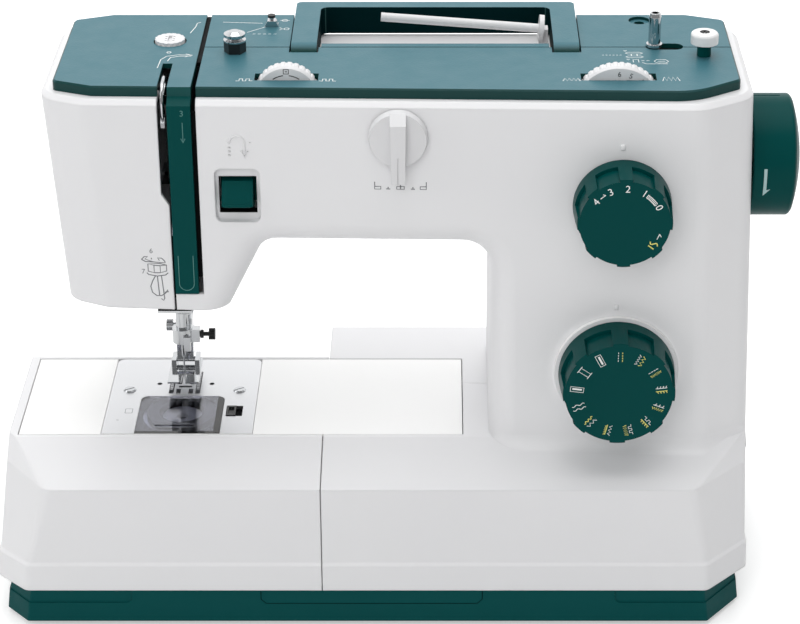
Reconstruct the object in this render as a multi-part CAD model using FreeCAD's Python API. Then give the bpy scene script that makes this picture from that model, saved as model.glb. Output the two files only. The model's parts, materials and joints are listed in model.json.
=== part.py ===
"""Domestic sewing machine with a free arm, built as separate named pieces.

X runs towards the handwheel, Y to the back and Z up; the machine stands on Z = 0.
Sizes are in millimetres. Each function makes one node and main() writes them all.
"""
import FreeCAD, Part
import math
import os
from FreeCAD import Vector

os.makedirs("parts", exist_ok=True)

# Base and bed
BASE_LENGTH = 378.9
BASE_DEPTH = 176.0
WHEEL_REACH = 21.9
FOOT_HEIGHT = 3.0
TRAY_TOP = 22.0
BAND_TOP = 36.0
BED = 88.0
BED_RISE = 9.5
BED_DEPTH = 80.0
BED_OFFSET = -6.0
BED_BEHIND = 37.5
BED_SEAM = 0.8
TABLE_STRIP = 3.0
WALL = 2.5

# Arm, head and column
RIM = 270.0
LID_HEIGHT = 5.0
ARM_FRONT_LEFT = -48.5
ARM_FRONT_RIGHT = -56.5
ARM_REAR = 59.5
NEEDLE_ROOM = 74.0
THROAT = 107.0
HARP_EDGE = 13.0
HEAD_DROP = 2.2
FOOT_BLEND = 9.0
HEAD_TAPER = 0.066
COLUMN_TAPER = 0.034
ARM_CORNER = 14.0
RIM_SIDE = 6.4
RIM_FRONT = 5.6
RIM_BEVEL = 2.5
SEAM = 7.5
LID_GROOVE = 0.7
LID_STRIP = 5.2
DECK = 3.0
LID_SKIN = 2.5

# Clearances: shaft fits, gaps between mouldings, gaps between moving curved faces
SLIP = 0.05
GAP = 0.4
SEAT = 0.3

# Needle, hook and shafts
NEEDLE_FROM_LEFT = 90.5
NEEDLE_Y = 4.0
NEEDLE_BAR = 3.2
PRESSER_BEHIND = 12.0
FOOT_LIFT = 6.0
HOOK_RADIUS = 20.0
HOOK_GEAR = 5.5
HOOK_TEETH = 10
HOOK_RATIO = 2
HOOK_SHAFT = 3.0
LOWER_GEAR = 9.2
SHAFT = 6.0
LOWER_SHAFT = 4.0
LOWER_Z = 52.0
PULLEY = 14.0
DRIVE_PULLEY = 30.0
MOTOR_PULLEY = 15.0
MOTOR_RADIUS = 24.0
MOTOR_Y = 10.0
BELT = 1.6
CRANK_THROW = 12.0

# Controls
WHEEL_RADIUS = 30.3
LENGTH_DIAL = 23.6
PATTERN_DIAL = 28.6
DIAL_DEPTH = 21.0
DIAL_RIBS = 8
POINTER_DISC = 14.2
TENSION_WHEEL = 15.5
WIDTH_WHEEL = 21.5
THUMB_PROUD = 6.4
THUMB_WIDTH = 7.0

# Handle
HANDLE_ARM = 12.6
HANDLE_HEIGHT = 14.0
HANDLE_PROUD = 2.4
HANDLE_BAR = 8.0

# Smaller fittings
HANDLE_PIN = 2.0
EAR = 6.0
AXLE = 3.0
DIAL_SHAFT = 4.0
POINTER_SHAFT = 3.0
PRESSURE_STEM = 4.0
PRESSURE_CAP = 7.4
TAKEUP_PIN = 2.5
TAKEUP_REST = 18.0
LEVER_PIN = 2.0
LIFT_PIN = 3.0
LIFT_REACH = 30.0
BUSH = 3.0
BLOCK = 12.0
BOBBIN = 10.2
FEED_INNER = 3.2
FEED_OUTER = 6.8
SCREW_OUT = 28.5
SPARE_PIN = 2.6
SPOOL_RADIUS = 2.2
SPOOL_LENGTH = 80.6
SPOOL_LEAN = math.radians(4.4)
WINDER_TRAVEL = 10.0
LAMP_LENGTH = 16.0

# Places that follow from the sizes above
LEFT = -(BASE_LENGTH + WHEEL_REACH) / 2
RIGHT = LEFT + BASE_LENGTH
TOP = RIM + LID_HEIGHT
SHOULDER = BED - BED_RISE
HEAD_BOTTOM = BED + NEEDLE_ROOM
ARM_UNDER = BED + THROAT
SHAFT_Z = ARM_UNDER + 0.45 * (RIM - ARM_UNDER) - 8.75
MOTOR_Z = BED + 15.0
PATTERN_DIAL_Z = BED + 41.0
LENGTH_DIAL_Z = RIM - 50.8
POINTER_Z = RIM - 17.0
FRONT = -BASE_DEPTH / 2
REAR = BASE_DEPTH / 2
BED_FRONT = BED_OFFSET - BED_DEPTH / 2
BED_REAR = BED_OFFSET + BED_DEPTH / 2
NEEDLE_X = LEFT + NEEDLE_FROM_LEFT
HEAD_LEFT = NEEDLE_X - 57.4
ARM_RIGHT = RIGHT - 6.7
HARP_LEFT = NEEDLE_X + 30.0
HARP_RIGHT = RIGHT - 131.0
TABLE_END = NEEDLE_X + 74.0
BED_END = HARP_RIGHT - 13.4
FREE_LEFT = LEFT + 11.0
FREE_FLOOR = 40.0
PRESSER_Y = NEEDLE_Y + PRESSER_BEHIND
HOOK_Y = NEEDLE_Y - HOOK_RADIUS - 1.0
LOWER_Y = HOOK_Y + HOOK_GEAR + LOWER_GEAR + SEAT
SHAFT_Y = NEEDLE_Y
WEB_FRONT = ARM_REAR - 17.0
WEB_REAR = WEB_FRONT + 6.0
FLANGE_FRONT = -22.0
FLANGE_TOP = RIM - 14.0
DIAL_X = RIGHT - 68.9
BELT_LEFT = DIAL_X + 8.5
BELT_RIGHT = BELT_LEFT + 10.0
WHEEL_LEFT = ARM_RIGHT + (RIM - SHAFT_Z + WHEEL_RADIUS) * COLUMN_TAPER + 0.8
DRIVE_LEFT = RIGHT - 20.5
DRIVE_RIGHT = DRIVE_LEFT + 9.0
PLATE_LEFT = NEEDLE_X + 4.1
PLATE_RIGHT = NEEDLE_X + 15.3
SLOT_RIGHT = PLATE_RIGHT + 2.4
SLOT_LEFT = NEEDLE_X - 0.6
SLOT_NARROW = PLATE_LEFT - 1.0
SLOT_REAR = -14.2
PLATE_BOTTOM = HEAD_BOTTOM + 7.0
HANDLE_LEFT = NEEDLE_X + 60.0
HANDLE_RIGHT = RIGHT - 87.7
HANDLE_FRONT = SEAM - 6.0
HANDLE_REAR = ARM_REAR + 6.2
PIVOT_Y = HANDLE_FRONT + HANDLE_HEIGHT / 2
PIVOT_Z = TOP + HANDLE_PROUD - HANDLE_HEIGHT / 2
TUB_FLOOR = PIVOT_Z - HANDLE_HEIGHT / 2 - 1.2
TUB_LEFT = HANDLE_LEFT - 1.2
TUB_RIGHT = HANDLE_RIGHT + 1.2
THUMB_FRONT = -35.2
TENSION_X = NEEDLE_X + 59.8
TENSION_Z = TOP + THUMB_PROUD - TENSION_WHEEL
WIDTH_X = DIAL_X - 2.0
WIDTH_Z = TOP + THUMB_PROUD - WIDTH_WHEEL
THUMB_WHEELS = ((TENSION_X, TENSION_Z, TENSION_WHEEL), (WIDTH_X, WIDTH_Z, WIDTH_WHEEL))
POINTER_X = NEEDLE_X + 113.0
WINDER_X = RIGHT - 51.0
WINDER_Y = SEAM + 1.0
REVERSE_X = NEEDLE_X + 36.0
REVERSE_Z = SHAFT_Z + 1.0
COVER_FRONT = BED_FRONT + 0.8
COVER_REAR = NEEDLE_Y - 10.4
COVER_HALF = 21.4
PLATE_HALF = 38.1
PLATE_THICK = 2.0
BED_UNDER = BED - 4.0
BEAM_FRONT = BED_REAR - 14.0
HOOK_FLOOR = LOWER_Z + LOWER_GEAR + 0.8
HOOK_TOP = BED - 6.5
BOBBIN_TOP = BED - 7.0
CRANK_LEFT = NEEDLE_X + 11.0
CRANK_RISE = 2.0
CRANK_PIN_Y = SHAFT_Y - math.sqrt(CRANK_THROW ** 2 - CRANK_RISE ** 2)
CRANK_PIN_Z = SHAFT_Z + CRANK_RISE
LINK_LEFT = NEEDLE_X + 6.9
LINK_RIGHT = NEEDLE_X + 9.3
TAKEUP_LEFT = NEEDLE_X + 5.0
TAKEUP_RIGHT = NEEDLE_X + 6.5
UPPER_BLOCKS = (NEEDLE_X + 26.0, RIGHT - 38.5)
LOWER_BLOCKS = (NEEDLE_X + 50.0, DIAL_X - 10.0)
CLAMP_Z = BED + 31.0
NEEDLE_TIP = BED + 3.0
DRIVER_Z = SHAFT_Z - 20.0
TAKEUP_Y = PRESSER_Y + 10.0
TAKEUP_Z = SHAFT_Z + 13.0
SLOT_STEP = SHAFT_Z + 2.0
ANKLE_TOP = BED + 36.0
COLLAR_Z = HEAD_BOTTOM + 38.0
SOLE = BED + FOOT_LIFT
FOOT_FRONT = NEEDLE_Y - 9.9
LIFT_X = NEEDLE_X + 6.0
LIFT_Z = HEAD_BOTTOM + 8.0
LIFT_FRONT = PRESSER_Y + 14.0
LIFT_REAR = LIFT_FRONT + 7.0
LAMP_X = NEEDLE_X - 40.0
LEVER_Y = ARM_FRONT_LEFT + 26.0
CONTROL_Y = ARM_FRONT_RIGHT + 25.5
SCREW_Y = NEEDLE_Y - 4.0
BUTTON_X = NEEDLE_X + 23.5
BUTTON_Y = NEEDLE_Y - 31.0
SPARE_X = RIGHT - 55.7
SPARE_Y = ARM_REAR - 14.5
SPOOL_Y = SEAM + 19.5
STOPPER_X = RIGHT - 27.8
STOPPER_Y = SEAM - 10.5
INLET_Y = 12.0
INLET_Z = 50.0
SWITCH_Y = INLET_Y - 32.0


def box(x, y, z):
    return Part.makeBox(x[1] - x[0], y[1] - y[0], z[1] - z[0], Vector(x[0], y[0], z[0]))


def rod_x(x, y, z, radius):
    return Part.makeCylinder(radius, x[1] - x[0], Vector(x[0], y, z), Vector(1, 0, 0))


def rod_y(x, y, z, radius):
    return Part.makeCylinder(radius, y[1] - y[0], Vector(x, y[0], z), Vector(0, 1, 0))


def rod_z(x, y, z, radius):
    return Part.makeCylinder(radius, z[1] - z[0], Vector(x, y, z[0]))


def on_z(z):
    return lambda x, y: Vector(x, y, z)


def on_y(y):
    return lambda x, z: Vector(x, y, z)


def on_x(x):
    return lambda y, z: Vector(x, y, z)


def rounded_wire(points, radius, place):
    """Closed wire through flat points; radius is one value or one for each corner."""
    count = len(points)
    radii = radius if isinstance(radius, list) else [radius] * count
    corners = []
    for i, point in enumerate(points):
        here = Vector(*point, 0)
        back = (Vector(*points[i - 1], 0) - here).normalize()
        ahead = (Vector(*points[(i + 1) % count], 0) - here).normalize()
        if radii[i] <= 0:
            corners.append((here, None, here))
            continue
        half = back.getAngle(ahead) / 2
        reach = radii[i] / math.tan(half)
        middle = (back + ahead).normalize()
        bulge = here + middle * (radii[i] / math.sin(half) - radii[i])
        corners.append((here + back * reach, bulge, here + ahead * reach))
    edges = []
    for i, (start, bulge, end) in enumerate(corners):
        if bulge is not None:
            arc = Part.Arc(place(start.x, start.y), place(bulge.x, bulge.y), place(end.x, end.y))
            edges.append(arc.toShape())
        following = corners[(i + 1) % count][0]
        if (following - end).Length > 1e-6:
            edges.append(Part.makeLine(place(end.x, end.y), place(following.x, following.y)))
    return Part.Wire(edges)


def prism_x(points, x, radius=0):
    return Part.Face(rounded_wire(points, radius, on_x(x[0]))).extrude(Vector(x[1] - x[0], 0, 0))


def prism_y(points, y, radius=0):
    return Part.Face(rounded_wire(points, radius, on_y(y[0]))).extrude(Vector(0, y[1] - y[0], 0))


def prism_z(points, z, radius=0):
    return Part.Face(rounded_wire(points, radius, on_z(z[0]))).extrude(Vector(0, 0, z[1] - z[0]))


def rectangle(a, b):
    return [(a[0], b[0]), (a[1], b[0]), (a[1], b[1]), (a[0], b[1])]


def fuse(*shapes):
    joined = shapes[0]
    for shape in shapes[1:]:
        joined = joined.fuse(shape)
    return joined.removeSplitter()


def cut(shape, *tools):
    for tool in tools:
        shape = shape.cut(tool)
    return shape


def middle_of(edge):
    return edge.valueAt((edge.FirstParameter + edge.LastParameter) / 2)


def revolve(points, place, base, axis):
    """Solid of revolution of a closed flat outline about a line."""
    return Part.Face(rounded_wire(points, 0, place)).revolve(base, axis, 360)


def tangent_loop(a, b, radius_a, radius_b, x):
    """Prism round two circles in the YZ plane and the two lines that touch both."""
    along = Vector(b[0] - a[0], b[1] - a[1], 0)
    turn = math.acos((radius_a - radius_b) / along.Length)
    heading = math.atan2(along.y, along.x)
    points = []
    for centre, radius, sign in ((a, radius_a, 1), (b, radius_b, 1), (b, radius_b, -1), (a, radius_a, -1)):
        angle = heading + sign * turn
        points.append((centre[0] + radius * math.cos(angle), centre[1] + radius * math.sin(angle)))
    straight = prism_x(points, x)
    return fuse(straight, rod_x(x, a[0], a[1], radius_a), rod_x(x, b[0], b[1], radius_b))


def belt(a, b, radius_a, radius_b, x):
    outer = tangent_loop(a, b, radius_a + SEAT + BELT, radius_b + SEAT + BELT, x)
    return outer.cut(tangent_loop(a, b, radius_a + SEAT, radius_b + SEAT, x))


# Housing envelope

def front_at(x):
    """Front face of the arm, which comes forward towards the handwheel end."""
    share = (x - HEAD_LEFT) / (ARM_RIGHT - HEAD_LEFT)
    return ARM_FRONT_LEFT + share * (ARM_FRONT_RIGHT - ARM_FRONT_LEFT)


def inset_legs(legs, inset):
    """Legs of a corner bevel after all the sides have moved in by the inset."""
    a, b = legs
    scale = 1 + inset * (math.hypot(a, b) - a - b) / (a * b)
    return a * scale, b * scale


def octagon(left, right, front, rear, legs, right_legs, inset):
    """Bevelled plan; front is a function of X so that it may run at an angle."""
    a, b = inset_legs(legs, inset)
    c, d = inset_legs(right_legs, inset)
    left += inset
    right -= inset
    rear -= inset
    front_left = front(left + a) + inset
    front_right = front(right - c) + inset
    return [
        (left, front_left + b), (left + a, front_left), (right - c, front_right), (right, front_right + d),
        (right, rear - b), (right - a, rear), (left + a, rear), (left, rear - b),
    ]


def arm_plan(z, inset):
    left = HEAD_LEFT + (RIM - z) * HEAD_TAPER
    right = ARM_RIGHT + (RIM - z) * COLUMN_TAPER
    return octagon(left, right, front_at, ARM_REAR, (21.0, 9.0), (25.0, 16.0), inset)


def lid_plan(inset):
    front = lambda x: front_at(x) + RIM_FRONT
    left = HEAD_LEFT + RIM_SIDE
    right = ARM_RIGHT - RIM_SIDE
    return octagon(left, right, front, ARM_REAR - RIM_FRONT, (19.0, 7.5), (22.5, 15.5), inset)


def base_plan(left, right, front, rear, corners, inset):
    return octagon(left, right, lambda x: front, rear, *corners, inset)


def base_sections(inset):
    """Base outlines from the tray up to the bed with the rounding of their corners."""
    low = ((16.0, 15.0), (22.0, 23.0))
    shoulder = ((23.0, 30.0), (28.0, 29.0))
    bed = ((4.0, 5.0), (4.0, 5.0))
    return [
        (TRAY_TOP, 5.0, base_plan(LEFT, RIGHT, FRONT, REAR, low, inset)),
        (BAND_TOP, 5.0, base_plan(LEFT + 1.0, RIGHT - 0.4, FRONT + 0.4, REAR - 0.4, low, inset)),
        (BAND_TOP + 1.6, 5.0, base_plan(LEFT + 2.0, RIGHT - 1.2, FRONT + 1.6, REAR - 1.6, low, inset)),
        (SHOULDER - inset, 9.0, base_plan(LEFT + 5.5, RIGHT - 2.2, FRONT + 3.0, REAR - 3.0, shoulder, inset)),
        (BED - inset, 1.2, base_plan(LEFT + 6.0, RIGHT - 1.6, BED_FRONT - 3.0, BED_REAR + BED_BEHIND, bed, inset)),
    ]


def base_solid(inset):
    wires = [rounded_wire(points, radius, on_z(z)) for z, radius, points in base_sections(inset)]
    return Part.makeLoft(wires, True, True)


def harp_tool(inset):
    """Room under the arm; the underside of the head drops a little towards the needle."""
    corner = HEAD_BOTTOM + inset
    under = ARM_UNDER + inset
    points = [
        (LEFT - 100, 60.0), (LEFT - 100, corner), (HEAD_LEFT, corner), (HARP_LEFT - 0.4 * inset, corner - HEAD_DROP),
        (HARP_LEFT + 17.5 - 0.6 * inset, under), (HARP_RIGHT + inset, under), (HARP_RIGHT + inset, 60.0),
    ]
    return prism_y(points, (FRONT - 20, REAR + 20), [0, 0, 0, 0, 10.0, 14.0, 0])


def arm_solid(inset):
    """Head, arm and column in one, with the soft edges round the harp opening."""
    top = RIM if inset == 0 else RIM - DECK
    levels = [(SHOULDER + 1.0, inset), (top, inset)]
    if inset == 0:
        levels = [(SHOULDER + 1.0, 0), (RIM - RIM_BEVEL, 0), (RIM, RIM_BEVEL)]
    wires = [rounded_wire(arm_plan(z, step), ARM_CORNER - step, on_z(z)) for z, step in levels]
    block = Part.makeLoft(wires, True, True).cut(harp_tool(inset))
    edges = []
    for edge in block.Edges:
        mid = middle_of(edge)
        on_face = abs(mid.y - front_at(mid.x) - inset) < 0.6 or abs(mid.y - ARM_REAR + inset) < 0.6
        if on_face and SHOULDER + 3 < mid.z < ARM_UNDER + 6 and HARP_LEFT - 3 < mid.x < HARP_RIGHT + 4:
            edges.append(edge)
    return block.makeFillet(HARP_EDGE - inset, edges)


def foot_plan(z, out):
    """Outline of the column alone, moved out by a step at the front, right and rear."""
    side = arm_plan(z, -out)[2:6]
    points = [(HARP_RIGHT, front_at(HARP_RIGHT) - out), *side, (HARP_RIGHT, ARM_REAR + out)]
    return rounded_wire(points, [HARP_EDGE + out, *[ARM_CORNER] * 4, HARP_EDGE + out], on_z(z))


def column_foot():
    """Hollow blend from the front of the column into the slope of the base."""
    slope = math.atan2(BED_RISE, BED_FRONT - FRONT - 6.0)
    turn = math.pi / 2 - slope
    meet = BED - (BED_FRONT - 3.0 - front_at(DIAL_X)) * math.tan(slope) - 0.2
    centre = meet + FOOT_BLEND * math.tan(turn / 2)
    steps = [turn * i / 8 for i in range(8, -1, -1)]
    levels = [(centre - FOOT_BLEND * math.sin(a), FOOT_BLEND * (1 - math.cos(a)) - 0.05) for a in steps]
    levels.insert(0, (levels[0][0] - 2.0, levels[0][1]))
    skirt = Part.makeLoft([foot_plan(z, out) for z, out in levels], True, True)
    return skirt.common(box((HARP_RIGHT - 1, RIGHT - 1.5), (FRONT, REAR), (0, RIM)))


def housing():
    """White shell of arm, column and right-hand base before it is parted into covers."""
    side = (TABLE_END, RIGHT + 1)
    outer = arm_solid(0).fuse(base_solid(0).common(box(side, (FRONT - 1, REAR + 1), (0, BED))))
    inner_base = base_solid(WALL).common(box((TABLE_END + WALL, RIGHT), (FRONT, REAR), (0, BED)))
    outer = outer.fuse(column_foot()).removeSplitter()
    shell = cut(outer, arm_solid(WALL), inner_base)
    deck_hole = prism_z(lid_plan(8.0), (RIM - DECK - 1, RIM + 1), 4.0)
    bed_hole = box((TABLE_END - 1, BED_END + GAP), (BED_FRONT, BED_REAR + BED_SEAM), (FREE_FLOOR - GAP, BED + 1))
    return cut(shell, deck_hole, bed_hole)


def behind_front():
    """Everything behind the plane of the arm's front face."""
    points = [(LEFT, front_at(LEFT)), (RIGHT, front_at(RIGHT)), (RIGHT, REAR), (LEFT, REAR)]
    return prism_z(points, (BED, TOP + 20))


def reverse_recess():
    """Pocket for the reverse lever and the block behind the wall that it is sunk into."""
    face = front_at(REVERSE_X)
    block = box((REVERSE_X - 13, REVERSE_X + 13), (face + 1, face + 9), (REVERSE_Z - 16, REVERSE_Z + 17))
    pocket = prism_y(rectangle((REVERSE_X - 10.7, REVERSE_X + 10.7), (REVERSE_Z - 13, REVERSE_Z + 14.5)),
                     (face - 5, face + 3.5), 3.0)
    mouth = box((REVERSE_X - 9, REVERSE_X + 9), (face - 5, face + 20), (REVERSE_Z - 9.5, REVERSE_Z + 9.5))
    return block, pocket, mouth


def tub():
    """Walls and hollow of the recess that the folded handle lies in."""
    outer = box((TUB_LEFT - WALL, TUB_RIGHT + WALL), (SEAM, ARM_REAR - 1), (TUB_FLOOR - WALL, RIM))
    hollow = box((TUB_LEFT, TUB_RIGHT), (SEAM + WALL, REAR), (TUB_FLOOR, TOP + 20))
    for left in (HANDLE_LEFT, HANDLE_RIGHT - HANDLE_ARM):
        ear = (left - EAR, left + HANDLE_ARM + EAR)
        room = (left - 1.2, left + HANDLE_ARM + 1.2)
        outer = outer.fuse(box(ear, (HANDLE_FRONT - EAR, SEAM + 12), (TUB_FLOOR - WALL, RIM)))
        hollow = hollow.fuse(box(room, (HANDLE_FRONT - 0.8, SEAM + 12), (TUB_FLOOR, TOP + 20)))
    pins = rod_x((TUB_LEFT - EAR, TUB_RIGHT + EAR), PIVOT_Y, PIVOT_Z, HANDLE_PIN + SLIP)
    return outer, hollow, pins


def covers():
    """Front, rear and face covers, parted at the seam plane and along the thread slots."""
    shell = housing()
    block, pocket, mouth = reverse_recess()
    tub_outer, tub_hollow, pins = tub()
    bottom = (HEAD_BOTTOM - HEAD_DROP - 1, HEAD_BOTTOM + WALL + 1)
    tools = [
        box((NEEDLE_X - 14, NEEDLE_X + 14), (NEEDLE_Y - 14, PRESSER_Y + 9), bottom),
        box((LIFT_X - 7, HARP_LEFT - 2), (LIFT_FRONT - 1.5, LIFT_REAR + 1.5), bottom),
        box((LAMP_X - SEAT, LAMP_X + LAMP_LENGTH + SEAT), (-6 - SEAT, 10 + SEAT), bottom),
        rod_x((RIGHT - 15, RIGHT + 5), SHAFT_Y, SHAFT_Z, SHAFT + 2),
        rod_y(DIAL_X, (FRONT, 0), LENGTH_DIAL_Z, DIAL_SHAFT + SEAT),
        rod_y(DIAL_X, (FRONT, 0), PATTERN_DIAL_Z, DIAL_SHAFT + SEAT),
        rod_y(POINTER_X, (FRONT, -30), POINTER_Z, POINTER_SHAFT + SEAT),
        box((RIGHT - 10, RIGHT + 5), (INLET_Y, INLET_Y + 28), (INLET_Z, INLET_Z + 20)),
        rod_z(SPARE_X, SPARE_Y, (RIM - DECK - 1, RIM + 1), SPARE_PIN + 3 + GAP),
        box((RIGHT - 10, RIGHT + 5), (SWITCH_Y, SWITCH_Y + 20), (INLET_Z, INLET_Z + 20)),
    ]
    front_half = box((LEFT, RIGHT + 5), (FRONT - 5, SEAM), (0, TOP + 5))
    front = cut(shell.common(front_half).fuse(block), pocket, mouth, *tools)
    right_side = prism_y([
        (PLATE_LEFT, 0), (PLATE_LEFT, PLATE_BOTTOM), (SLOT_RIGHT, PLATE_BOTTOM), (SLOT_RIGHT, TOP + 5),
        (RIGHT + 5, TOP + 5), (RIGHT + 5, 0)], (FRONT - 5, SEAM))
    left_side = prism_y([
        (LEFT, 0), (SLOT_NARROW, 0), (SLOT_NARROW, SLOT_STEP - 6), (SLOT_LEFT, SLOT_STEP), (SLOT_LEFT, TOP + 5),
        (LEFT, TOP + 5)], (FRONT - 5, SEAM))
    rear = shell.common(box((LEFT, RIGHT + 5), (SEAM, REAR + 5), (0, TOP + 5)))
    rear = cut(rear.fuse(tub_outer), tub_hollow, pins, *tools)
    return {
        "front_cover": front.common(right_side).fuse(pattern_ring()).removeSplitter(),
        "face_cover": front.common(left_side),
        "rear_cover": rear,
    }


# Lids on top of the arm

def lids():
    """Green top covers: one moulding outline, hollow below, parted into four pieces."""
    bevel = 0.8
    corners = [3.0, 3.0, 30.0, 3.0, 3.0, 3.0, 3.0, 3.0]
    wires = [rounded_wire(lid_plan(step), corners, on_z(z)) for z, step in
             ((RIM, 0), (TOP - bevel, 0), (TOP, bevel))]
    lid = Part.makeLoft(wires, True, True)
    lid = lid.cut(prism_z(lid_plan(LID_SKIN), (RIM - 1, TOP - LID_SKIN), 2.0))
    strip = (HANDLE_LEFT + HANDLE_ARM + 2.0, HANDLE_RIGHT - HANDLE_ARM - 2.0)
    through = (RIM - 1, TOP + 1)
    holes = [winder_slot(through), rod_z(NEEDLE_X, PRESSER_Y, through, PRESSURE_CAP + 0.7)]
    for x, _, radius in THUMB_WHEELS:
        half = math.sqrt(2 * radius * THUMB_PROUD - THUMB_PROUD ** 2) + 2.6
        holes.append(box((x - half, x + half), (THUMB_FRONT - 0.8, THUMB_FRONT + THUMB_WIDTH + 1), through))
    for left in (HANDLE_LEFT, HANDLE_RIGHT - HANDLE_ARM):
        holes.append(box((left - 0.8, left + HANDLE_ARM + 0.8), (HANDLE_FRONT - 0.8, REAR), through))
    holes.append(box((HANDLE_LEFT - 0.8, HANDLE_RIGHT + 0.8), (SEAM, REAR), through))
    holes.append(box((SLOT_LEFT, SLOT_RIGHT), (FRONT, SLOT_REAR), through))
    spare = rod_z(SPARE_X, SPARE_Y, (TOP - 9, TOP), SPARE_PIN + 3.0)
    spare = cut(spare, rod_z(SPARE_X, SPARE_Y, (TOP - 9, TOP + 1), SPARE_PIN))
    spare = cut(spare, rod_z(SPARE_X, SPARE_Y, (TOP - 1.5, TOP + 1), 5.4))
    holes.append(rod_z(SPARE_X, SPARE_Y, through, SPARE_PIN + 2.9))
    lid = cut(lid, *holes)
    behind = (SEAM + LID_GROOVE, REAR)
    rear_right = lid.common(box((HANDLE_RIGHT, RIGHT), behind, through))
    ledge = box(strip, (SEAM - 1, SEAM + LID_STRIP), (TOP - LID_SKIN, TOP))
    groove = box(strip, (SEAM, SEAM + LID_GROOVE), (TOP - 0.8, TOP + 1))
    front = lid.common(box((SLOT_RIGHT, RIGHT), (FRONT, SEAM), through))
    return {
        "face_top_cover": lid.common(box((LEFT, PLATE_RIGHT), (FRONT, REAR), through)),
        "front_top_cover": fuse(front, ledge).cut(groove),
        "rear_top_cover_left": lid.common(box((SLOT_RIGHT, HANDLE_LEFT), behind, through)),
        "rear_top_cover_right": fuse(rear_right, spare),
    }


def winder_slot(z):
    ends = (WINDER_X, WINDER_X + WINDER_TRAVEL)
    return fuse(box(ends, (WINDER_Y - 4.2, WINDER_Y + 4.2), z), *[rod_z(x, WINDER_Y, z, 4.2) for x in ends])


def thread_guide_plate():
    face = front_at(NEEDLE_X + 10)
    lid_edge = face + RIM_FRONT
    points = [
        (SLOT_REAR, TOP), (lid_edge, TOP), (lid_edge - 0.4, RIM + 0.4), (face - 0.8, RIM - 2.2),
        (face - 0.8, PLATE_BOTTOM + GAP), (face + 2, PLATE_BOTTOM + GAP), (face + 2, RIM - 4.2),
        (lid_edge + 2.4, RIM - 0.8), (lid_edge + 2.8, TOP - 3), (SLOT_REAR, TOP - 3),
    ]
    return prism_x(points, (PLATE_LEFT, PLATE_RIGHT))


def thread_channel():
    """Black liner behind the thread slots, open for the take-up lever, and the floor of the rear slot."""
    face = front_at(SLOT_LEFT - 4)
    wall = (face + WALL + SEAT, face + WALL + SEAT + 2)
    liner = fuse(box((SLOT_LEFT - 4, SLOT_RIGHT + 1), wall, (PLATE_BOTTOM + 8, RIM - 7)),
                 box((SLOT_LEFT - 4, PLATE_LEFT + 4), wall, (HEAD_BOTTOM + WALL + 1, PLATE_BOTTOM + 9)))
    rib = box((PLATE_LEFT + 3, PLATE_RIGHT - 3), (front_at(NEEDLE_X + 10) + 2, wall[0] + 1),
              (PLATE_BOTTOM + 4, RIM - 12))
    way = box((SLOT_LEFT, PLATE_LEFT), (face, 0), (SLOT_STEP - 24, RIM))
    floor = box((PLATE_RIGHT, SLOT_RIGHT - SLIP), (SLOT_REAR + 4, ARM_REAR - RIM_FRONT - 1), (TOP - 3.2, TOP - 1.0))
    return Part.makeCompound([fuse(liner, rib).cut(way), floor])


# Base, feet, free arm and bed

def tray_solid(inset):
    corners = ((12.0, 13.0), (17.5, 22.0))
    low = base_plan(LEFT + 3.5, RIGHT - 3.5, FRONT + 1.2, REAR - 1.2, corners, inset)
    high = base_plan(LEFT + 6.0, RIGHT - 5.7, FRONT + 1.0, REAR - 1.0, corners, inset)
    wires = [rounded_wire(low, 2.0, on_z(FOOT_HEIGHT)), rounded_wire(high, 2.0, on_z(TRAY_TOP))]
    return Part.makeLoft(wires, True, True)


def base_tray():
    """Bottom tray with a shallow panel round each of its front corners."""
    tray = tray_solid(0)
    core = tray_solid(0.6)
    for start, end in ((LEFT - 20, LEFT + 68.5), (RIGHT - 67.9, RIGHT + 20)):
        panel = prism_y(rectangle((start, end), (TRAY_TOP - 8, TRAY_TOP + 20)), (FRONT - 5, FRONT + 44), 3.0)
        tray = tray.cut(panel.cut(core))
    hollow = tray_solid(WALL).common(box((LEFT, RIGHT), (FRONT, REAR), (FOOT_HEIGHT + WALL, TRAY_TOP + 1)))
    return tray.cut(hollow)


def rubber_feet():
    pads = []
    for x in (LEFT + 34, RIGHT - 34):
        for y in (FRONT + 24, REAR - 24):
            pads.append(Part.makeCone(8.0, 9.0, FOOT_HEIGHT, Vector(x, y, 0)))
    return Part.makeCompound(pads)


def behind_table(inset):
    """Space behind the steep rear face of the table."""
    step = 1.3 * inset
    foot = (REAR - 4.0 - step, TRAY_TOP + 8.0)
    top = (BED_REAR + TABLE_STRIP - step, BED)
    points = [top, foot, (REAR + 5, foot[1]), (REAR + 5, BED + 5), (top[0], BED + 5)]
    return prism_x(points, (LEFT - 5, TABLE_END + 5))


def extension_table():
    """Accessory box round the free arm; it pulls off to the left."""
    block = base_solid(0).common(box((LEFT - 1, TABLE_END - GAP), (FRONT - 1, REAR + 1), (TRAY_TOP, BED)))
    room = base_solid(WALL).common(
        box((LEFT, TABLE_END - GAP - WALL), (FRONT, REAR), (TRAY_TOP - 1, BED)))
    rear = BED_REAR + BED_SEAM
    arm = box((FREE_LEFT - GAP, RIGHT), (BED_FRONT - 0.2, rear), (0, BED + 5))
    walls = box((FREE_LEFT - GAP - WALL, RIGHT), (BED_FRONT - 0.2 - WALL, rear + WALL), (0, BED + 5))
    room = room.cut(behind_table(WALL)).cut(walls)
    return cut(block, behind_table(0), room, arm)


def free_arm_casing():
    """Trough of the free arm, closed at the left end."""
    y = (BED_FRONT + 0.4, BED_REAR - 0.4)
    outer = box((FREE_LEFT, BED_END), y, (FREE_FLOOR, BED_UNDER))
    inner = box((FREE_LEFT + WALL, BED_END + 1), (y[0] + WALL, y[1] - WALL), (FREE_FLOOR + WALL, BED))
    return outer.cut(inner)


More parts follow.
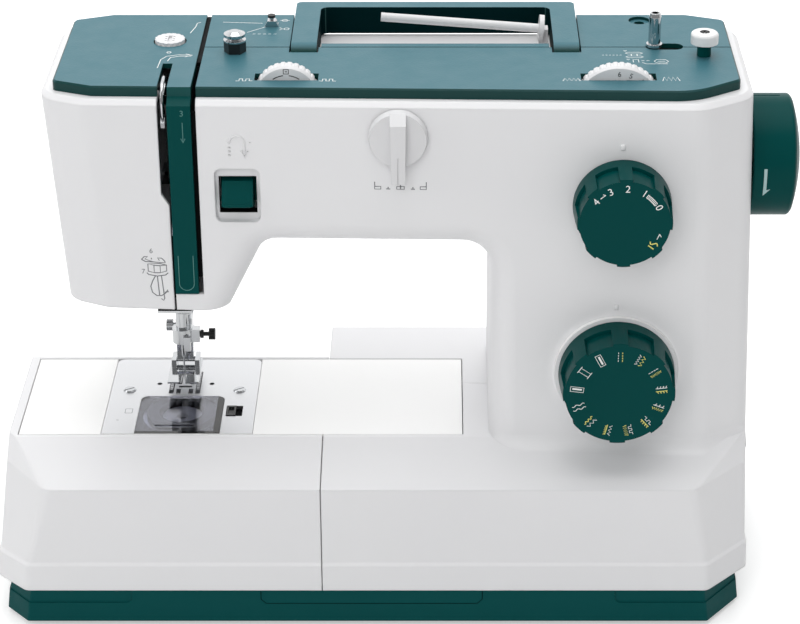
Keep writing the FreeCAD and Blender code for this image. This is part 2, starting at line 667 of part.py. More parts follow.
def bed_cover():
    """Bed plate with a recess for the needle plate and an opening over the hook."""
    plate = box((FREE_LEFT, BED_END), (BED_FRONT, BED_REAR), (BED_UNDER, BED))
    recess = box((NEEDLE_X - PLATE_HALF - 0.2, NEEDLE_X + PLATE_HALF + 0.2), (COVER_FRONT - 0.2, BED_REAR + 1),
                 (BED - PLATE_THICK, BED + 1))
    window = box((NEEDLE_X - 24, NEEDLE_X + 18), (BED_FRONT + 4.5, BED_REAR - 8), (0, BED))
    return cut(plate, recess, window)


def needle_plate():
    """Steel plate with feed slots, needle slot, cover opening and button slot."""
    z = (BED - PLATE_THICK, BED)
    through = (z[0] - 1, z[1] + 1)
    corners = rectangle((NEEDLE_X - PLATE_HALF, NEEDLE_X + PLATE_HALF), (COVER_FRONT, BED_REAR))
    plate = prism_z(corners, z, [0.5, 0.5, 4.0, 4.0])
    mouth = rectangle((NEEDLE_X - COVER_HALF - 0.2, NEEDLE_X + COVER_HALF + 0.2), (FRONT, COVER_REAR + 0.2))
    tools = [prism_z(mouth, through, [0, 0, 4.2, 4.2])]
    for side in (-1, 1):
        x = NEEDLE_X + side * FEED_OUTER
        tools.append(box((x - 1.2, x + 1.2), (NEEDLE_Y - 7.5, NEEDLE_Y + 16), through))
        x = NEEDLE_X + side * FEED_INNER
        tools.append(box((x - 1.2, x + 1.2), (NEEDLE_Y - 7.5, NEEDLE_Y - 2.5), through))
        tools.append(box((x - 1.2, x + 1.2), (NEEDLE_Y + 2.5, NEEDLE_Y + 16), through))
        tools.append(rod_z(NEEDLE_X + side * 13.6, NEEDLE_Y + 3, through, 1.3))
        tools.append(rod_z(NEEDLE_X + side * SCREW_OUT, SCREW_Y, through, 2.0))
    tools.append(box((NEEDLE_X - 3.4, NEEDLE_X + 3.4), (NEEDLE_Y - 0.9, NEEDLE_Y + 0.9), through))
    tools.append(box((BUTTON_X - 0.3, BUTTON_X + 8.1), (BUTTON_Y - 0.3, BUTTON_Y + 10.3), through))
    return cut(plate, *tools)


def needle_plate_screws():
    screws = []
    for side in (-1, 1):
        x = NEEDLE_X + side * SCREW_OUT
        head = Part.makeCone(3.4, 2.6, 0.9, Vector(x, SCREW_Y, BED))
        stem = rod_z(x, SCREW_Y, (BED - PLATE_THICK, BED), 2.0 - SLIP)
        slot = box((x - 4, x + 4), (SCREW_Y - 0.4, SCREW_Y + 0.4), (BED + 0.3, BED + 2))
        slot.rotate(Vector(x, SCREW_Y, 0), Vector(0, 0, 1), 30)
        screws.append(fuse(head, stem).cut(slot))
    return Part.makeCompound(screws)


def hook_cover():
    """Clear sliding cover over the bobbin with a moulded finger ridge."""
    outline = rectangle((NEEDLE_X - COVER_HALF, NEEDLE_X + COVER_HALF), (COVER_FRONT, COVER_REAR))
    plate = prism_z(outline, (BED - PLATE_THICK, BED), [0.5, 0.5, 4.0, 4.0])
    ridge = box((NEEDLE_X - 12, NEEDLE_X + 8), (COVER_FRONT + 8, COVER_FRONT + 9.2), (BED - 0.5, BED + 0.5))
    return fuse(plate, ridge)


def release_button():
    body = box((BUTTON_X, BUTTON_X + 4.7), (BUTTON_Y, BUTTON_Y + 10), (BED - PLATE_THICK, BED + 0.4))
    dish = box((BUTTON_X + 0.9, BUTTON_X + 3.8), (BUTTON_Y + 1.6, BUTTON_Y + 8.4), (BED - 0.6, BED + 2))
    return body.cut(dish)


# Hook, bobbin and feed

def toothed_wheel(radius, depth, teeth, length):
    """Spur blank along Z with straight tooth spaces cut into its rim."""
    wheel = Part.makeCylinder(radius, length)
    pitch = 2 * math.pi / teeth
    spaces = []
    for i in range(teeth):
        angle = math.degrees(i * pitch)
        half = radius * pitch / 4
        space = box((radius - depth, radius + 1), (-half, half), (-1, length + 1))
        space.rotate(Vector(0, 0, 0), Vector(0, 0, 1), angle)
        spaces.append(space)
    return wheel.cut(Part.makeCompound(spaces))


def hook():
    """Rotary hook: open cup on a short shaft with its gear."""
    cup = rod_z(NEEDLE_X, HOOK_Y, (HOOK_FLOOR, HOOK_TOP), HOOK_RADIUS)
    cup = cup.cut(rod_z(NEEDLE_X, HOOK_Y, (HOOK_FLOOR + 2, HOOK_TOP + 1), HOOK_RADIUS - 1.8))
    notch = box((NEEDLE_X, NEEDLE_X + 14), (HOOK_Y + 8, HOOK_Y + 30), (HOOK_FLOOR + 6, HOOK_TOP + 1))
    shaft = rod_z(NEEDLE_X, HOOK_Y, (FREE_FLOOR + WALL + 0.5, HOOK_FLOOR), HOOK_SHAFT)
    gear = toothed_wheel(HOOK_GEAR, 1.2, HOOK_TEETH, 9.0)
    gear.translate(Vector(NEEDLE_X, HOOK_Y, LOWER_Z - 4.5))
    return fuse(cup.cut(notch), shaft, gear)


def bobbin_case():
    """Still basket inside the hook, held from turning by a stop to the bed."""
    rim = HOOK_RADIUS - 1.8 - 0.5
    basket = rod_z(NEEDLE_X, HOOK_Y, (HOOK_FLOOR + 2.4, BED_UNDER), rim)
    hollow = rod_z(NEEDLE_X, HOOK_Y, (HOOK_FLOOR + 4, BED), BOBBIN + 1.2)
    post = rod_z(NEEDLE_X, HOOK_Y, (HOOK_FLOOR + 3.5, BOBBIN_TOP - 2), 2.6)
    stop = box((NEEDLE_X + rim - 3, NEEDLE_X + 21), (HOOK_Y - 3, HOOK_Y + 3), (HOOK_TOP + 0.4, BED_UNDER))
    return fuse(basket.cut(hollow), post, stop)


def bobbin():
    spool = rod_z(NEEDLE_X, HOOK_Y, (HOOK_FLOOR + 4.2, BOBBIN_TOP), BOBBIN)
    groove = rod_z(NEEDLE_X, HOOK_Y, (HOOK_FLOOR + 5.4, BOBBIN_TOP - 1.2), BOBBIN + 1)
    groove = groove.cut(rod_z(NEEDLE_X, HOOK_Y, (HOOK_FLOOR + 4, BOBBIN_TOP), 4.2))
    return cut(spool, groove, rod_z(NEEDLE_X, HOOK_Y, (0, BED), 3.0))


def feed_dog():
    """Four rows of teeth on a carrier that slides down the bed beam."""
    width = (NEEDLE_X - 9, NEEDLE_X + 9)
    bars = [
        box(width, (NEEDLE_Y + 4, BEAM_FRONT), (BED - 10, BED - 7)),
        box(width, (BEAM_FRONT - 8, BEAM_FRONT), (BED - 18, BED - 10)),
    ]
    for side in (-1, 1):
        x = NEEDLE_X + side * FEED_OUTER
        bars.append(box((x - 0.8, x + 0.8), (NEEDLE_Y - 4, NEEDLE_Y + 14.5), (BED - 4.5, BED + 0.5)))
        bars.append(box((x - 0.8, x + 0.8), (NEEDLE_Y + 5, NEEDLE_Y + 14.5), (BED - 8, BED - 4)))
        x = NEEDLE_X + side * FEED_INNER
        bars.append(box((x - 0.8, x + 0.8), (NEEDLE_Y + 5, NEEDLE_Y + 14.5), (BED - 8, BED + 0.5)))
    dog = fuse(*bars)
    notches = []
    for i in range(10):
        y = NEEDLE_Y - 3.2 + 1.8 * i
        notches.append(box((NEEDLE_X - 10, NEEDLE_X + 10), (y, y + 0.8), (BED - 0.2, BED + 1)))
    return dog.cut(Part.makeCompound(notches))


# Frame and drive

def main_frame():
    """Cast frame: C-shaped web, top flange, bed beam, bearing blocks and guides."""
    web = (WEB_FRONT, WEB_REAR)
    column = (HARP_RIGHT + 14, RIGHT - 12)
    pieces = [
        box(column, web, (FOOT_HEIGHT + WALL, FLANGE_TOP)),
        box((NEEDLE_X - 40, column[1]), web, (ARM_UNDER + 12, FLANGE_TOP)),
        box((NEEDLE_X - 20, NEEDLE_X + 16), web, (HEAD_BOTTOM + 3, FLANGE_TOP)),
        box((NEEDLE_X + 44, WIDTH_X + 12), (FLANGE_FRONT, WEB_REAR), (FLANGE_TOP - 6, FLANGE_TOP)),
        box(column, (-30, WEB_REAR), (FOOT_HEIGHT + WALL, FOOT_HEIGHT + WALL + 6)),
        box((NEEDLE_X - 70, column[1]), (BEAM_FRONT, BEAM_FRONT + 8), (FREE_FLOOR + WALL, BED - 8)),
        box(column, (BEAM_FRONT, WEB_REAR), (FREE_FLOOR + WALL, FREE_FLOOR + WALL + 14)),
        box((NEEDLE_X - 9, TAKEUP_LEFT - GAP), (PRESSER_Y + 5, WEB_REAR), (TAKEUP_Z - 6, TAKEUP_Z + 6)),
        rod_x((NEEDLE_X - 9, TAKEUP_RIGHT + 1), TAKEUP_Y, TAKEUP_Z, TAKEUP_PIN),
        box((NEEDLE_X - 9, TAKEUP_LEFT - GAP), (NEEDLE_Y - 6, WEB_REAR), (FLANGE_TOP - 14, FLANGE_TOP - 7)),
        box((NEEDLE_X - 9, NEEDLE_X + 8), (PRESSER_Y - 6, WEB_REAR), (FLANGE_TOP - 7, FLANGE_TOP)),
        box((NEEDLE_X - 9, NEEDLE_X + 8), (PRESSER_Y - 6, WEB_REAR), (FLANGE_TOP, FLANGE_TOP + 8)),
        box((NEEDLE_X - 9, NEEDLE_X + 8), (NEEDLE_Y - 6, LIFT_FRONT - 4), (HEAD_BOTTOM + 3, HEAD_BOTTOM + 9)),
        box((NEEDLE_X - 9, NEEDLE_X - 2), (NEEDLE_Y - 6, WEB_REAR), (HEAD_BOTTOM + 3, HEAD_BOTTOM + 9)),
        box((POINTER_X - 9, POINTER_X + 9), (FLANGE_FRONT - 16, FLANGE_FRONT + 4), (POINTER_Z - 9, POINTER_Z + 9)),
        box((REVERSE_X - 4, REVERSE_X + 4), (LEVER_Y - 5, SHAFT_Y - 10), (REVERSE_Z - 5, REVERSE_Z + 5)),
        rod_x((REVERSE_X - 10.5, REVERSE_X + 10.5), LEVER_Y, REVERSE_Z, LEVER_PIN),
        rod_y(LIFT_X, (LIFT_FRONT - 2, WEB_FRONT + 1), LIFT_Z, LIFT_PIN),
        cut(box((NEEDLE_X - 14, NEEDLE_X + 14), (HOOK_Y - 9, BEAM_FRONT + 1), (FREE_FLOOR + WALL, FREE_FLOOR + 5)),
            box((NEEDLE_X - 5, NEEDLE_X + 5), (LOWER_Y - 9, LOWER_Y + 12), (0, BED))),
    ]
    for x in UPPER_BLOCKS:
        pieces.append(box((x, x + BLOCK), (SHAFT_Y - 13, WEB_REAR), (SHAFT_Z - 11, SHAFT_Z + 11)))
    for x in LOWER_BLOCKS:
        pieces.append(box((x, x + BLOCK), (LOWER_Y - 10, BEAM_FRONT + 1), (LOWER_Z - 9, LOWER_Z + 9)))
    through_z = (0, TOP)
    bores = [
        rod_z(NEEDLE_X, NEEDLE_Y, through_z, NEEDLE_BAR + SLIP),
        rod_z(NEEDLE_X, PRESSER_Y, (HEAD_BOTTOM, FLANGE_TOP - 1), NEEDLE_BAR + SLIP),
        rod_z(NEEDLE_X, PRESSER_Y, (FLANGE_TOP - 1, TOP), PRESSURE_STEM + SLIP),
        rod_y(POINTER_X, (FRONT, FLANGE_FRONT), POINTER_Z, POINTER_SHAFT + SLIP),
        rod_z(NEEDLE_X, HOOK_Y, (0, FREE_FLOOR + 6), HOOK_SHAFT + SLIP),
    ]
    for x in UPPER_BLOCKS:
        bores.append(rod_x((x - 1, x + BLOCK + 1), SHAFT_Y, SHAFT_Z, SHAFT + BUSH))
    for x in LOWER_BLOCKS:
        bores.append(rod_x((x - 1, x + BLOCK + 1), LOWER_Y, LOWER_Z, LOWER_SHAFT + BUSH))
    return cut(fuse(*pieces), *bores)


def shaft_bushes():
    bushes = []
    for blocks, y, z, radius in ((UPPER_BLOCKS, SHAFT_Y, SHAFT_Z, SHAFT), (LOWER_BLOCKS, LOWER_Y, LOWER_Z, LOWER_SHAFT)):
        for x in blocks:
            bush = rod_x((x, x + BLOCK), y, z, radius + BUSH)
            bushes.append(bush.cut(rod_x((x - 1, x + BLOCK + 1), y, z, radius + SLIP)))
    return Part.makeCompound(bushes)


def main_shaft():
    """Upper shaft with the crank, the timing pulley and the large drive pulley on it."""
    shaft = rod_x((CRANK_LEFT, RIGHT + WHEEL_REACH - 5), SHAFT_Y, SHAFT_Z, SHAFT)
    timing = rod_x((BELT_LEFT, BELT_RIGHT), SHAFT_Y, SHAFT_Z, PULLEY)
    drive = rod_x((DRIVE_LEFT, DRIVE_RIGHT), SHAFT_Y, SHAFT_Z, DRIVE_PULLEY)
    return fuse(shaft, timing, drive, crank_disc())


def crank_disc():
    """Balanced crank disc with the needle bar pin."""
    x = (CRANK_LEFT, CRANK_LEFT + 8)
    disc = rod_x(x, SHAFT_Y, SHAFT_Z, CRANK_THROW + 4)
    pin = rod_x((CRANK_LEFT - 1, CRANK_LEFT), CRANK_PIN_Y, CRANK_PIN_Z, 2.5)
    lighten = box((CRANK_LEFT - 2, CRANK_LEFT + 3), (CRANK_PIN_Y - 9, SHAFT_Y - 8), (SHAFT_Z - 24, SHAFT_Z - 4))
    return fuse(disc, pin).cut(lighten)


def timing_belt():
    return belt((SHAFT_Y, SHAFT_Z), (LOWER_Y, LOWER_Z), PULLEY, PULLEY, (BELT_LEFT + 1, BELT_RIGHT - 1))


def motor_belt():
    return belt((SHAFT_Y, SHAFT_Z), (MOTOR_Y, MOTOR_Z), DRIVE_PULLEY, MOTOR_PULLEY, (DRIVE_LEFT + 1, DRIVE_RIGHT - 1))


def motor():
    """Motor body on a foot against the frame web."""
    x = (HARP_RIGHT + 16, DIAL_X + 3)
    body = rod_x(x, MOTOR_Y, MOTOR_Z, MOTOR_RADIUS)
    foot = box((x[0] + 8, x[1] - 8), (MOTOR_Y, WEB_FRONT), (MOTOR_Z - 14, MOTOR_Z + 14))
    boss = rod_x((x[1], x[1] + 4), MOTOR_Y, MOTOR_Z, 9)
    bore = rod_x((x[0] + 10, x[1] + 5), MOTOR_Y, MOTOR_Z, 3 + SLIP)
    return fuse(body, foot, boss).cut(bore)


def motor_shaft():
    x = HARP_RIGHT + 26
    spindle = rod_x((x + 1, DRIVE_RIGHT), MOTOR_Y, MOTOR_Z, 3)
    return fuse(spindle, rod_x((DRIVE_LEFT, DRIVE_RIGHT), MOTOR_Y, MOTOR_Z, MOTOR_PULLEY))


def lower_shaft():
    """Lower shaft with the hook drive gear and its timing pulley."""
    shaft = rod_x((NEEDLE_X - 8, BELT_RIGHT + 3), LOWER_Y, LOWER_Z, LOWER_SHAFT)
    gear = toothed_wheel(LOWER_GEAR, 1.2, HOOK_TEETH * HOOK_RATIO, 8.0)
    gear.rotate(Vector(0, 0, 0), Vector(0, 1, 0), 90)
    gear.translate(Vector(NEEDLE_X - 4, LOWER_Y, LOWER_Z))
    return fuse(shaft, gear, rod_x((BELT_LEFT, BELT_RIGHT), LOWER_Y, LOWER_Z, PULLEY))


def handwheel():
    """Wheel with a domed end, hollow behind, close to the column, with a setting groove on its rim."""
    inner = WHEEL_LEFT
    outer = RIGHT + WHEEL_REACH
    rim = WHEEL_RADIUS
    crown = rim - 1.6
    rise = 4.4
    bow = (crown ** 2 + rise ** 2) / (2 * rise)
    end = math.sqrt(bow ** 2 - 8.0 ** 2)
    dome = []
    for i in range(7):
        r = crown - (crown - 8.0) * i / 6
        dome.append((outer - end + math.sqrt(bow ** 2 - r ** 2), r))
    profile = [
        (inner, SHAFT), (inner, 12.0), (inner + 6, 12.0), (inner + 6, rim - 4), (inner, rim - 4), (inner, rim - 0.5),
        (inner + 0.5, rim), (outer - 5.8, rim), (outer - 4.9, rim - 0.5), *dome, (outer - 2, 8.0), (outer - 2, SHAFT),
    ]
    place = lambda x, r: Vector(x, SHAFT_Y, SHAFT_Z + r)
    wheel = revolve(profile, place, Vector(0, SHAFT_Y, SHAFT_Z), Vector(1, 0, 0))
    return wheel.cut(rod_x((inner - 1, inner + 15), SHAFT_Y + 2.6, SHAFT_Z + rim, 0.7))


# Needle and presser bars

def needle_bar():
    """Bar with the driver block and the stud that the link hangs on."""
    bar = rod_z(NEEDLE_X, NEEDLE_Y, (CLAMP_Z - 4, FLANGE_TOP + 6), NEEDLE_BAR)
    block = box((NEEDLE_X - 6, NEEDLE_X + 3.6), (NEEDLE_Y - 6, NEEDLE_Y + 6), (DRIVER_Z - 6, DRIVER_Z + 6))
    stud = rod_x((NEEDLE_X + 3, LINK_RIGHT), NEEDLE_Y, DRIVER_Z, 3)
    return fuse(bar, block, stud)


def needle_link():
    """Short connecting rod between the driver stud and the crank pin."""
    x = (LINK_LEFT, LINK_RIGHT)
    rod = tangent_loop((NEEDLE_Y, DRIVER_Z), (CRANK_PIN_Y, CRANK_PIN_Z), 5.5, 4.5, x)
    return rod.cut(rod_x((x[0] - 1, x[1] + 1), NEEDLE_Y, DRIVER_Z, 3 + SLIP))


def needle_clamp():
    block = rod_z(NEEDLE_X, NEEDLE_Y, (CLAMP_Z - 4, CLAMP_Z + 4), 5.2)
    ear = box((NEEDLE_X, NEEDLE_X + 9), (NEEDLE_Y - 2.6, NEEDLE_Y + 2.6), (CLAMP_Z - 3.5, CLAMP_Z + 3.5))
    guide = box((NEEDLE_X + 1, NEEDLE_X + 4.5), (NEEDLE_Y - 6.4, NEEDLE_Y - 4), (CLAMP_Z - 7, CLAMP_Z + 1))
    body = fuse(block, ear, guide)
    shank = rod_z(NEEDLE_X, NEEDLE_Y, (CLAMP_Z - 4, CLAMP_Z + 5), NEEDLE_BAR)
    screw = rod_x((NEEDLE_X + 4.5, NEEDLE_X + 10), NEEDLE_Y, CLAMP_Z, 1.6 + SLIP)
    return cut(body, shank, screw)


def clamp_screw():
    stem = rod_x((NEEDLE_X + 5, NEEDLE_X + 10.5), NEEDLE_Y, CLAMP_Z, 1.6)
    collar = rod_x((NEEDLE_X + 9.3, NEEDLE_X + 10.8), NEEDLE_Y, CLAMP_Z, 2.2)
    neck = rod_x((NEEDLE_X + 10, NEEDLE_X + 14.5), NEEDLE_Y, CLAMP_Z, 1.1)
    head = toothed_wheel(3.0, 0.4, 20, 3.2)
    head.rotate(Vector(0, 0, 0), Vector(0, 1, 0), 90)
    head.translate(Vector(NEEDLE_X + 13.6, NEEDLE_Y, CLAMP_Z))
    return fuse(stem, collar, neck, head)


def needle():
    shank = rod_z(NEEDLE_X, NEEDLE_Y, (CLAMP_Z - 12, CLAMP_Z - 4), 1.0)
    taper = Part.makeCone(0.45, 1.0, 2.0, Vector(NEEDLE_X, NEEDLE_Y, CLAMP_Z - 14))
    blade = rod_z(NEEDLE_X, NEEDLE_Y, (NEEDLE_TIP + 3, CLAMP_Z - 14), 0.45)
    point = Part.makeCone(0.1, 0.45, 3.0, Vector(NEEDLE_X, NEEDLE_Y, NEEDLE_TIP))
    return fuse(shank, taper, blade, point)


def take_up_lever():
    """Lever beside the needle bar that steps over into the thread slot."""
    plane = (TAKEUP_LEFT, TAKEUP_RIGHT)
    tip = (NEEDLE_X + 0.7, NEEDLE_X + 2.7)
    front = front_at(NEEDLE_X) - 3
    hub = rod_x(plane, TAKEUP_Y, TAKEUP_Z, 6.0)
    arm = prism_x([(TAKEUP_Y, TAKEUP_Z - 5), (-34, TAKEUP_Z - 2.5), (-34, TAKEUP_Z + 3.5), (TAKEUP_Y, TAKEUP_Z + 5)],
                  plane)
    step = box((tip[0], plane[1]), (-34, -30), (TAKEUP_Z - 2, TAKEUP_Z + 3))
    nose = prism_x([(-30, TAKEUP_Z - 2), (front + 2, TAKEUP_Z - 1.5), (front, TAKEUP_Z + 1), (front + 2, TAKEUP_Z + 3.5),
                    (-30, TAKEUP_Z + 3)], tip)
    eye = rod_x((tip[0] - 1, tip[1] + 1), front + 4, TAKEUP_Z + 1, 1.2)
    pin = rod_x((NEEDLE_X, NEEDLE_X + 10), TAKEUP_Y, TAKEUP_Z, TAKEUP_PIN + SLIP)
    lever = cut(fuse(hub, arm, step, nose), eye, pin)
    lever.rotate(Vector(0, TAKEUP_Y, TAKEUP_Z), Vector(1, 0, 0), -TAKEUP_REST)
    return lever


def presser_bar():
    bar = rod_z(NEEDLE_X, PRESSER_Y, (ANKLE_TOP - 8, FLANGE_TOP - 2), NEEDLE_BAR)
    collar = box((NEEDLE_X - 7, NEEDLE_X + 7), (PRESSER_Y - 4.5, PRESSER_Y + 7), (COLLAR_Z, COLLAR_Z + 7))
    return fuse(bar, collar)


def presser_spring():
    """Coil between the presser bar collar and the upper guide."""
    bottom = COLLAR_Z + 7.8
    height = FLANGE_TOP - 14 - bottom - 0.8
    coil_radius = NEEDLE_BAR + 0.85
    path = Part.makeHelix(3.0, height, coil_radius)
    start = Part.Wire(Part.makeCircle(0.5, Vector(coil_radius, 0, 0), Vector(0, 1, 0)))
    coil = Part.Wire(path.Edges).makePipeShell([start], True, True)
    coil.translate(Vector(NEEDLE_X, PRESSER_Y, bottom))
    return coil


def foot_holder():
    """Ankle with its clamp screw on the presser bar; the foot snaps on below."""
    body = box((NEEDLE_X - 4.2, NEEDLE_X + 4.2), (PRESSER_Y - 5, PRESSER_Y + 5.2), (ANKLE_TOP - 14, ANKLE_TOP))
    toe = box((NEEDLE_X - 4.2, NEEDLE_X + 4.2), (PRESSER_Y - 5, PRESSER_Y + 3), (SOLE + 6.5, ANKLE_TOP - 10))
    bar = rod_z(NEEDLE_X, PRESSER_Y, (ANKLE_TOP - 8, ANKLE_TOP + 1), NEEDLE_BAR)
    screw = rod_x((NEEDLE_X - 7, NEEDLE_X - 3.5), PRESSER_Y, ANKLE_TOP - 6, 1.4)
    knob = toothed_wheel(3.0, 0.4, 18, 3.4)
    knob.rotate(Vector(0, 0, 0), Vector(0, 1, 0), 90)
    knob.translate(Vector(NEEDLE_X - 9.4, PRESSER_Y, ANKLE_TOP - 6))
    return cut(fuse(body, toe, screw, knob), bar)


def presser_foot():
    """Snap-on zigzag foot: sole with two toes, needle slot and a cross pin bridge."""
    sole = box((NEEDLE_X - 8, NEEDLE_X + 8), (FOOT_FRONT, PRESSER_Y + 5), (SOLE, SOLE + 2))
    toes = box((NEEDLE_X - 1.2, NEEDLE_X + 1.2), (FOOT_FRONT - 1, NEEDLE_Y), (SOLE - 1, SOLE + 4))
    window = box((NEEDLE_X - 4.2, NEEDLE_X + 4.2), (NEEDLE_Y - 1.8, NEEDLE_Y + 1.8), (SOLE - 1, SOLE + 4))
    lift = prism_x([(FOOT_FRONT - 1, SOLE - 1), (FOOT_FRONT + 4, SOLE - 1), (FOOT_FRONT + 4, SOLE),
                    (FOOT_FRONT - 1, SOLE + 1.4)], (NEEDLE_X - 9, NEEDLE_X + 9))
    rails = []
    for side in (-1, 1):
        x = NEEDLE_X + side * 6.0
        rails.append(box((x - 1.2, x + 1.2), (PRESSER_Y - 6, PRESSER_Y + 4), (SOLE + 2, SOLE + 6.3)))
    pin = rod_x((NEEDLE_X - 7.2, NEEDLE_X + 7.2), PRESSER_Y - 1, SOLE + 4.6, 1.4)
    return fuse(cut(sole, toes, window, lift), pin, *rails)


def presser_lever():
    """Lifter with its cam hub inside the head and a finger tab below it."""
    y = (LIFT_FRONT, LIFT_REAR)
    angle = math.radians(52)
    across = Vector(math.sin(angle), 0, math.cos(angle)) * 3
    tip = Vector(LIFT_X + LIFT_REACH * math.cos(angle), 0, LIFT_Z - LIFT_REACH * math.sin(angle))
    root = Vector(LIFT_X, 0, LIFT_Z)
    corners = [root + across, tip + across, tip - across, root - across]
    arm = prism_y([(p.x, p.z) for p in corners], y)
    tab = rod_y(tip.x, (y[0] - 3, y[1] + 3), tip.z, 4.0)
    hub = rod_y(LIFT_X, y, LIFT_Z, 5.5)
    return fuse(arm, tab, hub).cut(rod_y(LIFT_X, (y[0] - 1, y[1] + 1), LIFT_Z, LIFT_PIN + SLIP))


def sewing_lamp():
    return box((LAMP_X, LAMP_X + LAMP_LENGTH), (-6, 10), (HEAD_BOTTOM + 0.2, HEAD_BOTTOM + WALL))


# Dials and levers

def ribbed_dial(z, radius, back):
    """Tapered dial with grip recesses between ribs, on a shaft along Y."""
    front = back - DIAL_DEPTH
    body = Part.makeCone(radius, radius * 0.954, DIAL_DEPTH, Vector(DIAL_X, back, z), Vector(0, -1, 0))
    step = 360.0 / DIAL_RIBS
    core = rod_y(DIAL_X, (front - 2, back), z, radius * 0.954 - 1.0)
    recesses = []
    for i in range(DIAL_RIBS):
        points = [(DIAL_X, z)]
        for angle in (i * step + 0.18 * step, i * step + 0.5 * step, i * step + 0.82 * step):
            turn = math.radians(angle)
            points.append((DIAL_X + 2 * radius * math.sin(turn), z + 2 * radius * math.cos(turn)))
        recesses.append(prism_y(points, (front - 1, back - 7)).cut(core))
    shaft = rod_y(DIAL_X, (back - 2, CONTROL_Y + 7), z, DIAL_SHAFT)
    return fuse(body.cut(Part.makeCompound(recesses)), shaft)


def length_dial():
    return ribbed_dial(LENGTH_DIAL_Z, LENGTH_DIAL, front_at(DIAL_X + LENGTH_DIAL) - GAP)


def pattern_ring_front():
    return front_at(DIAL_X + PATTERN_DIAL + 1.8) - 1.4


def pattern_ring():
    """Raised ring on the arm face round the pattern dial."""
    ring = rod_y(DIAL_X, (pattern_ring_front(), -40), PATTERN_DIAL_Z, PATTERN_DIAL + 1.8)
    hole = rod_y(DIAL_X, (FRONT, REAR), PATTERN_DIAL_Z, DIAL_SHAFT + 4)
    return cut(ring, hole, behind_front())


def pattern_dial():
    return ribbed_dial(PATTERN_DIAL_Z, PATTERN_DIAL, pattern_ring_front() - GAP)


def control_plate():
    """Plate that carries the dial shafts, on posts from the frame web."""
    y = (CONTROL_Y, CONTROL_Y + 3)
    plate = box((DIAL_X - 20, DIAL_X + 29), y, (PATTERN_DIAL_Z - 24, LENGTH_DIAL_Z + 15))
    posts = []
    middle = 0.5 * (PATTERN_DIAL_Z + LENGTH_DIAL_Z) - 6
    for x, z in ((DIAL_X - 15, middle), (DIAL_X + 24, middle), (DIAL_X - 15, LENGTH_DIAL_Z + 11.5)):
        posts.append(rod_y(x, (y[1], WEB_FRONT), z, 4))
    holes = [rod_y(DIAL_X, (y[0] - 1, y[1] + 1), z, DIAL_SHAFT + SLIP) for z in (LENGTH_DIAL_Z, PATTERN_DIAL_Z)]
    return cut(fuse(plate, *posts), *holes)


def pointer_knob():
    """Needle position knob: disc with a raised pointer bar."""
    back = front_at(POINTER_X + POINTER_DISC) - GAP
    disc = Part.makeCone(POINTER_DISC, POINTER_DISC - 0.8, 4.2, Vector(POINTER_X, back, POINTER_Z), Vector(0, -1, 0))
    top = POINTER_Z + POINTER_DISC - 0.6
    outline = [(POINTER_X - 3.3, POINTER_Z - 20.5), (POINTER_X + 3.3, POINTER_Z - 20.5),
               (POINTER_X + 3.9, top), (POINTER_X - 3.9, top)]
    bar = prism_y(outline, (back - 9, back - 3), [1.2, 1.2, 0, 0])
    slope = prism_x([(back - 10, top - 4.5), (back - 9, top - 4.5), (back - 4, top), (back - 4, top + 1),
                     (back - 10, top + 1)], (POINTER_X - 5, POINTER_X + 5))
    line = box((POINTER_X - 0.35, POINTER_X + 0.35), (back - 10, back - 8.6), (POINTER_Z - 21, POINTER_Z - 7))
    bar = cut(bar, slope, line)
    shaft = rod_y(POINTER_X, (back - 1, FLANGE_FRONT - 0.5), POINTER_Z, POINTER_SHAFT)
    return fuse(disc, bar, shaft)


def reverse_lever():
    """Rocking tab on two arms that straddle the frame lug."""
    face = front_at(REVERSE_X)
    tab = prism_x([(face + 12, REVERSE_Z - 6), (face + 2.4, REVERSE_Z - 6), (face - 4.5, REVERSE_Z - 3),
                   (face - 3.0, REVERSE_Z + 0.5), (face + 2.4, REVERSE_Z + 7.5), (face + 12, REVERSE_Z + 7.5)],
                  (REVERSE_X - 7.4, REVERSE_X + 7.4))
    bridge = box((REVERSE_X - 8.5, REVERSE_X + 8.5), (face + 10, face + 14), (REVERSE_Z - 6, REVERSE_Z + 6))
    arms = []
    for side in (-1, 1):
        x = REVERSE_X + side * 6.5
        arms.append(box((x - 2, x + 2), (face + 12, LEVER_Y + 5), (REVERSE_Z - 5, REVERSE_Z + 5)))
    pin = rod_x((REVERSE_X - 12, REVERSE_X + 12), LEVER_Y, REVERSE_Z, LEVER_PIN + SLIP)
    return fuse(tab, bridge, *arms).cut(pin)


def thumb_wheel(x, z, radius):
    """Dial wheel on edge with a finely notched rim behind its number face."""
    y = (THUMB_FRONT, THUMB_FRONT + THUMB_WIDTH)
    face = Part.makeCone(radius - 0.8, radius, 1.6, Vector(x, y[0], z), Vector(0, 1, 0))
    rim = rod_y(x, (y[0] + 1.6, y[1]), z, radius)
    count = round(1.9 * radius)
    notches = []
    for i in range(count):
        turn = 2 * math.pi * i / count
        at = (x + (radius + 0.4) * math.sin(turn), z + (radius + 0.4) * math.cos(turn))
        notches.append(rod_y(at[0], (y[0] + 2.0, y[1] + 1), at[1], 0.9))
    wheel = fuse(face, rim).cut(Part.makeCompound(notches))
    return wheel.cut(rod_y(x, (y[0] - 1, y[1] + 1), z, AXLE + SLIP))


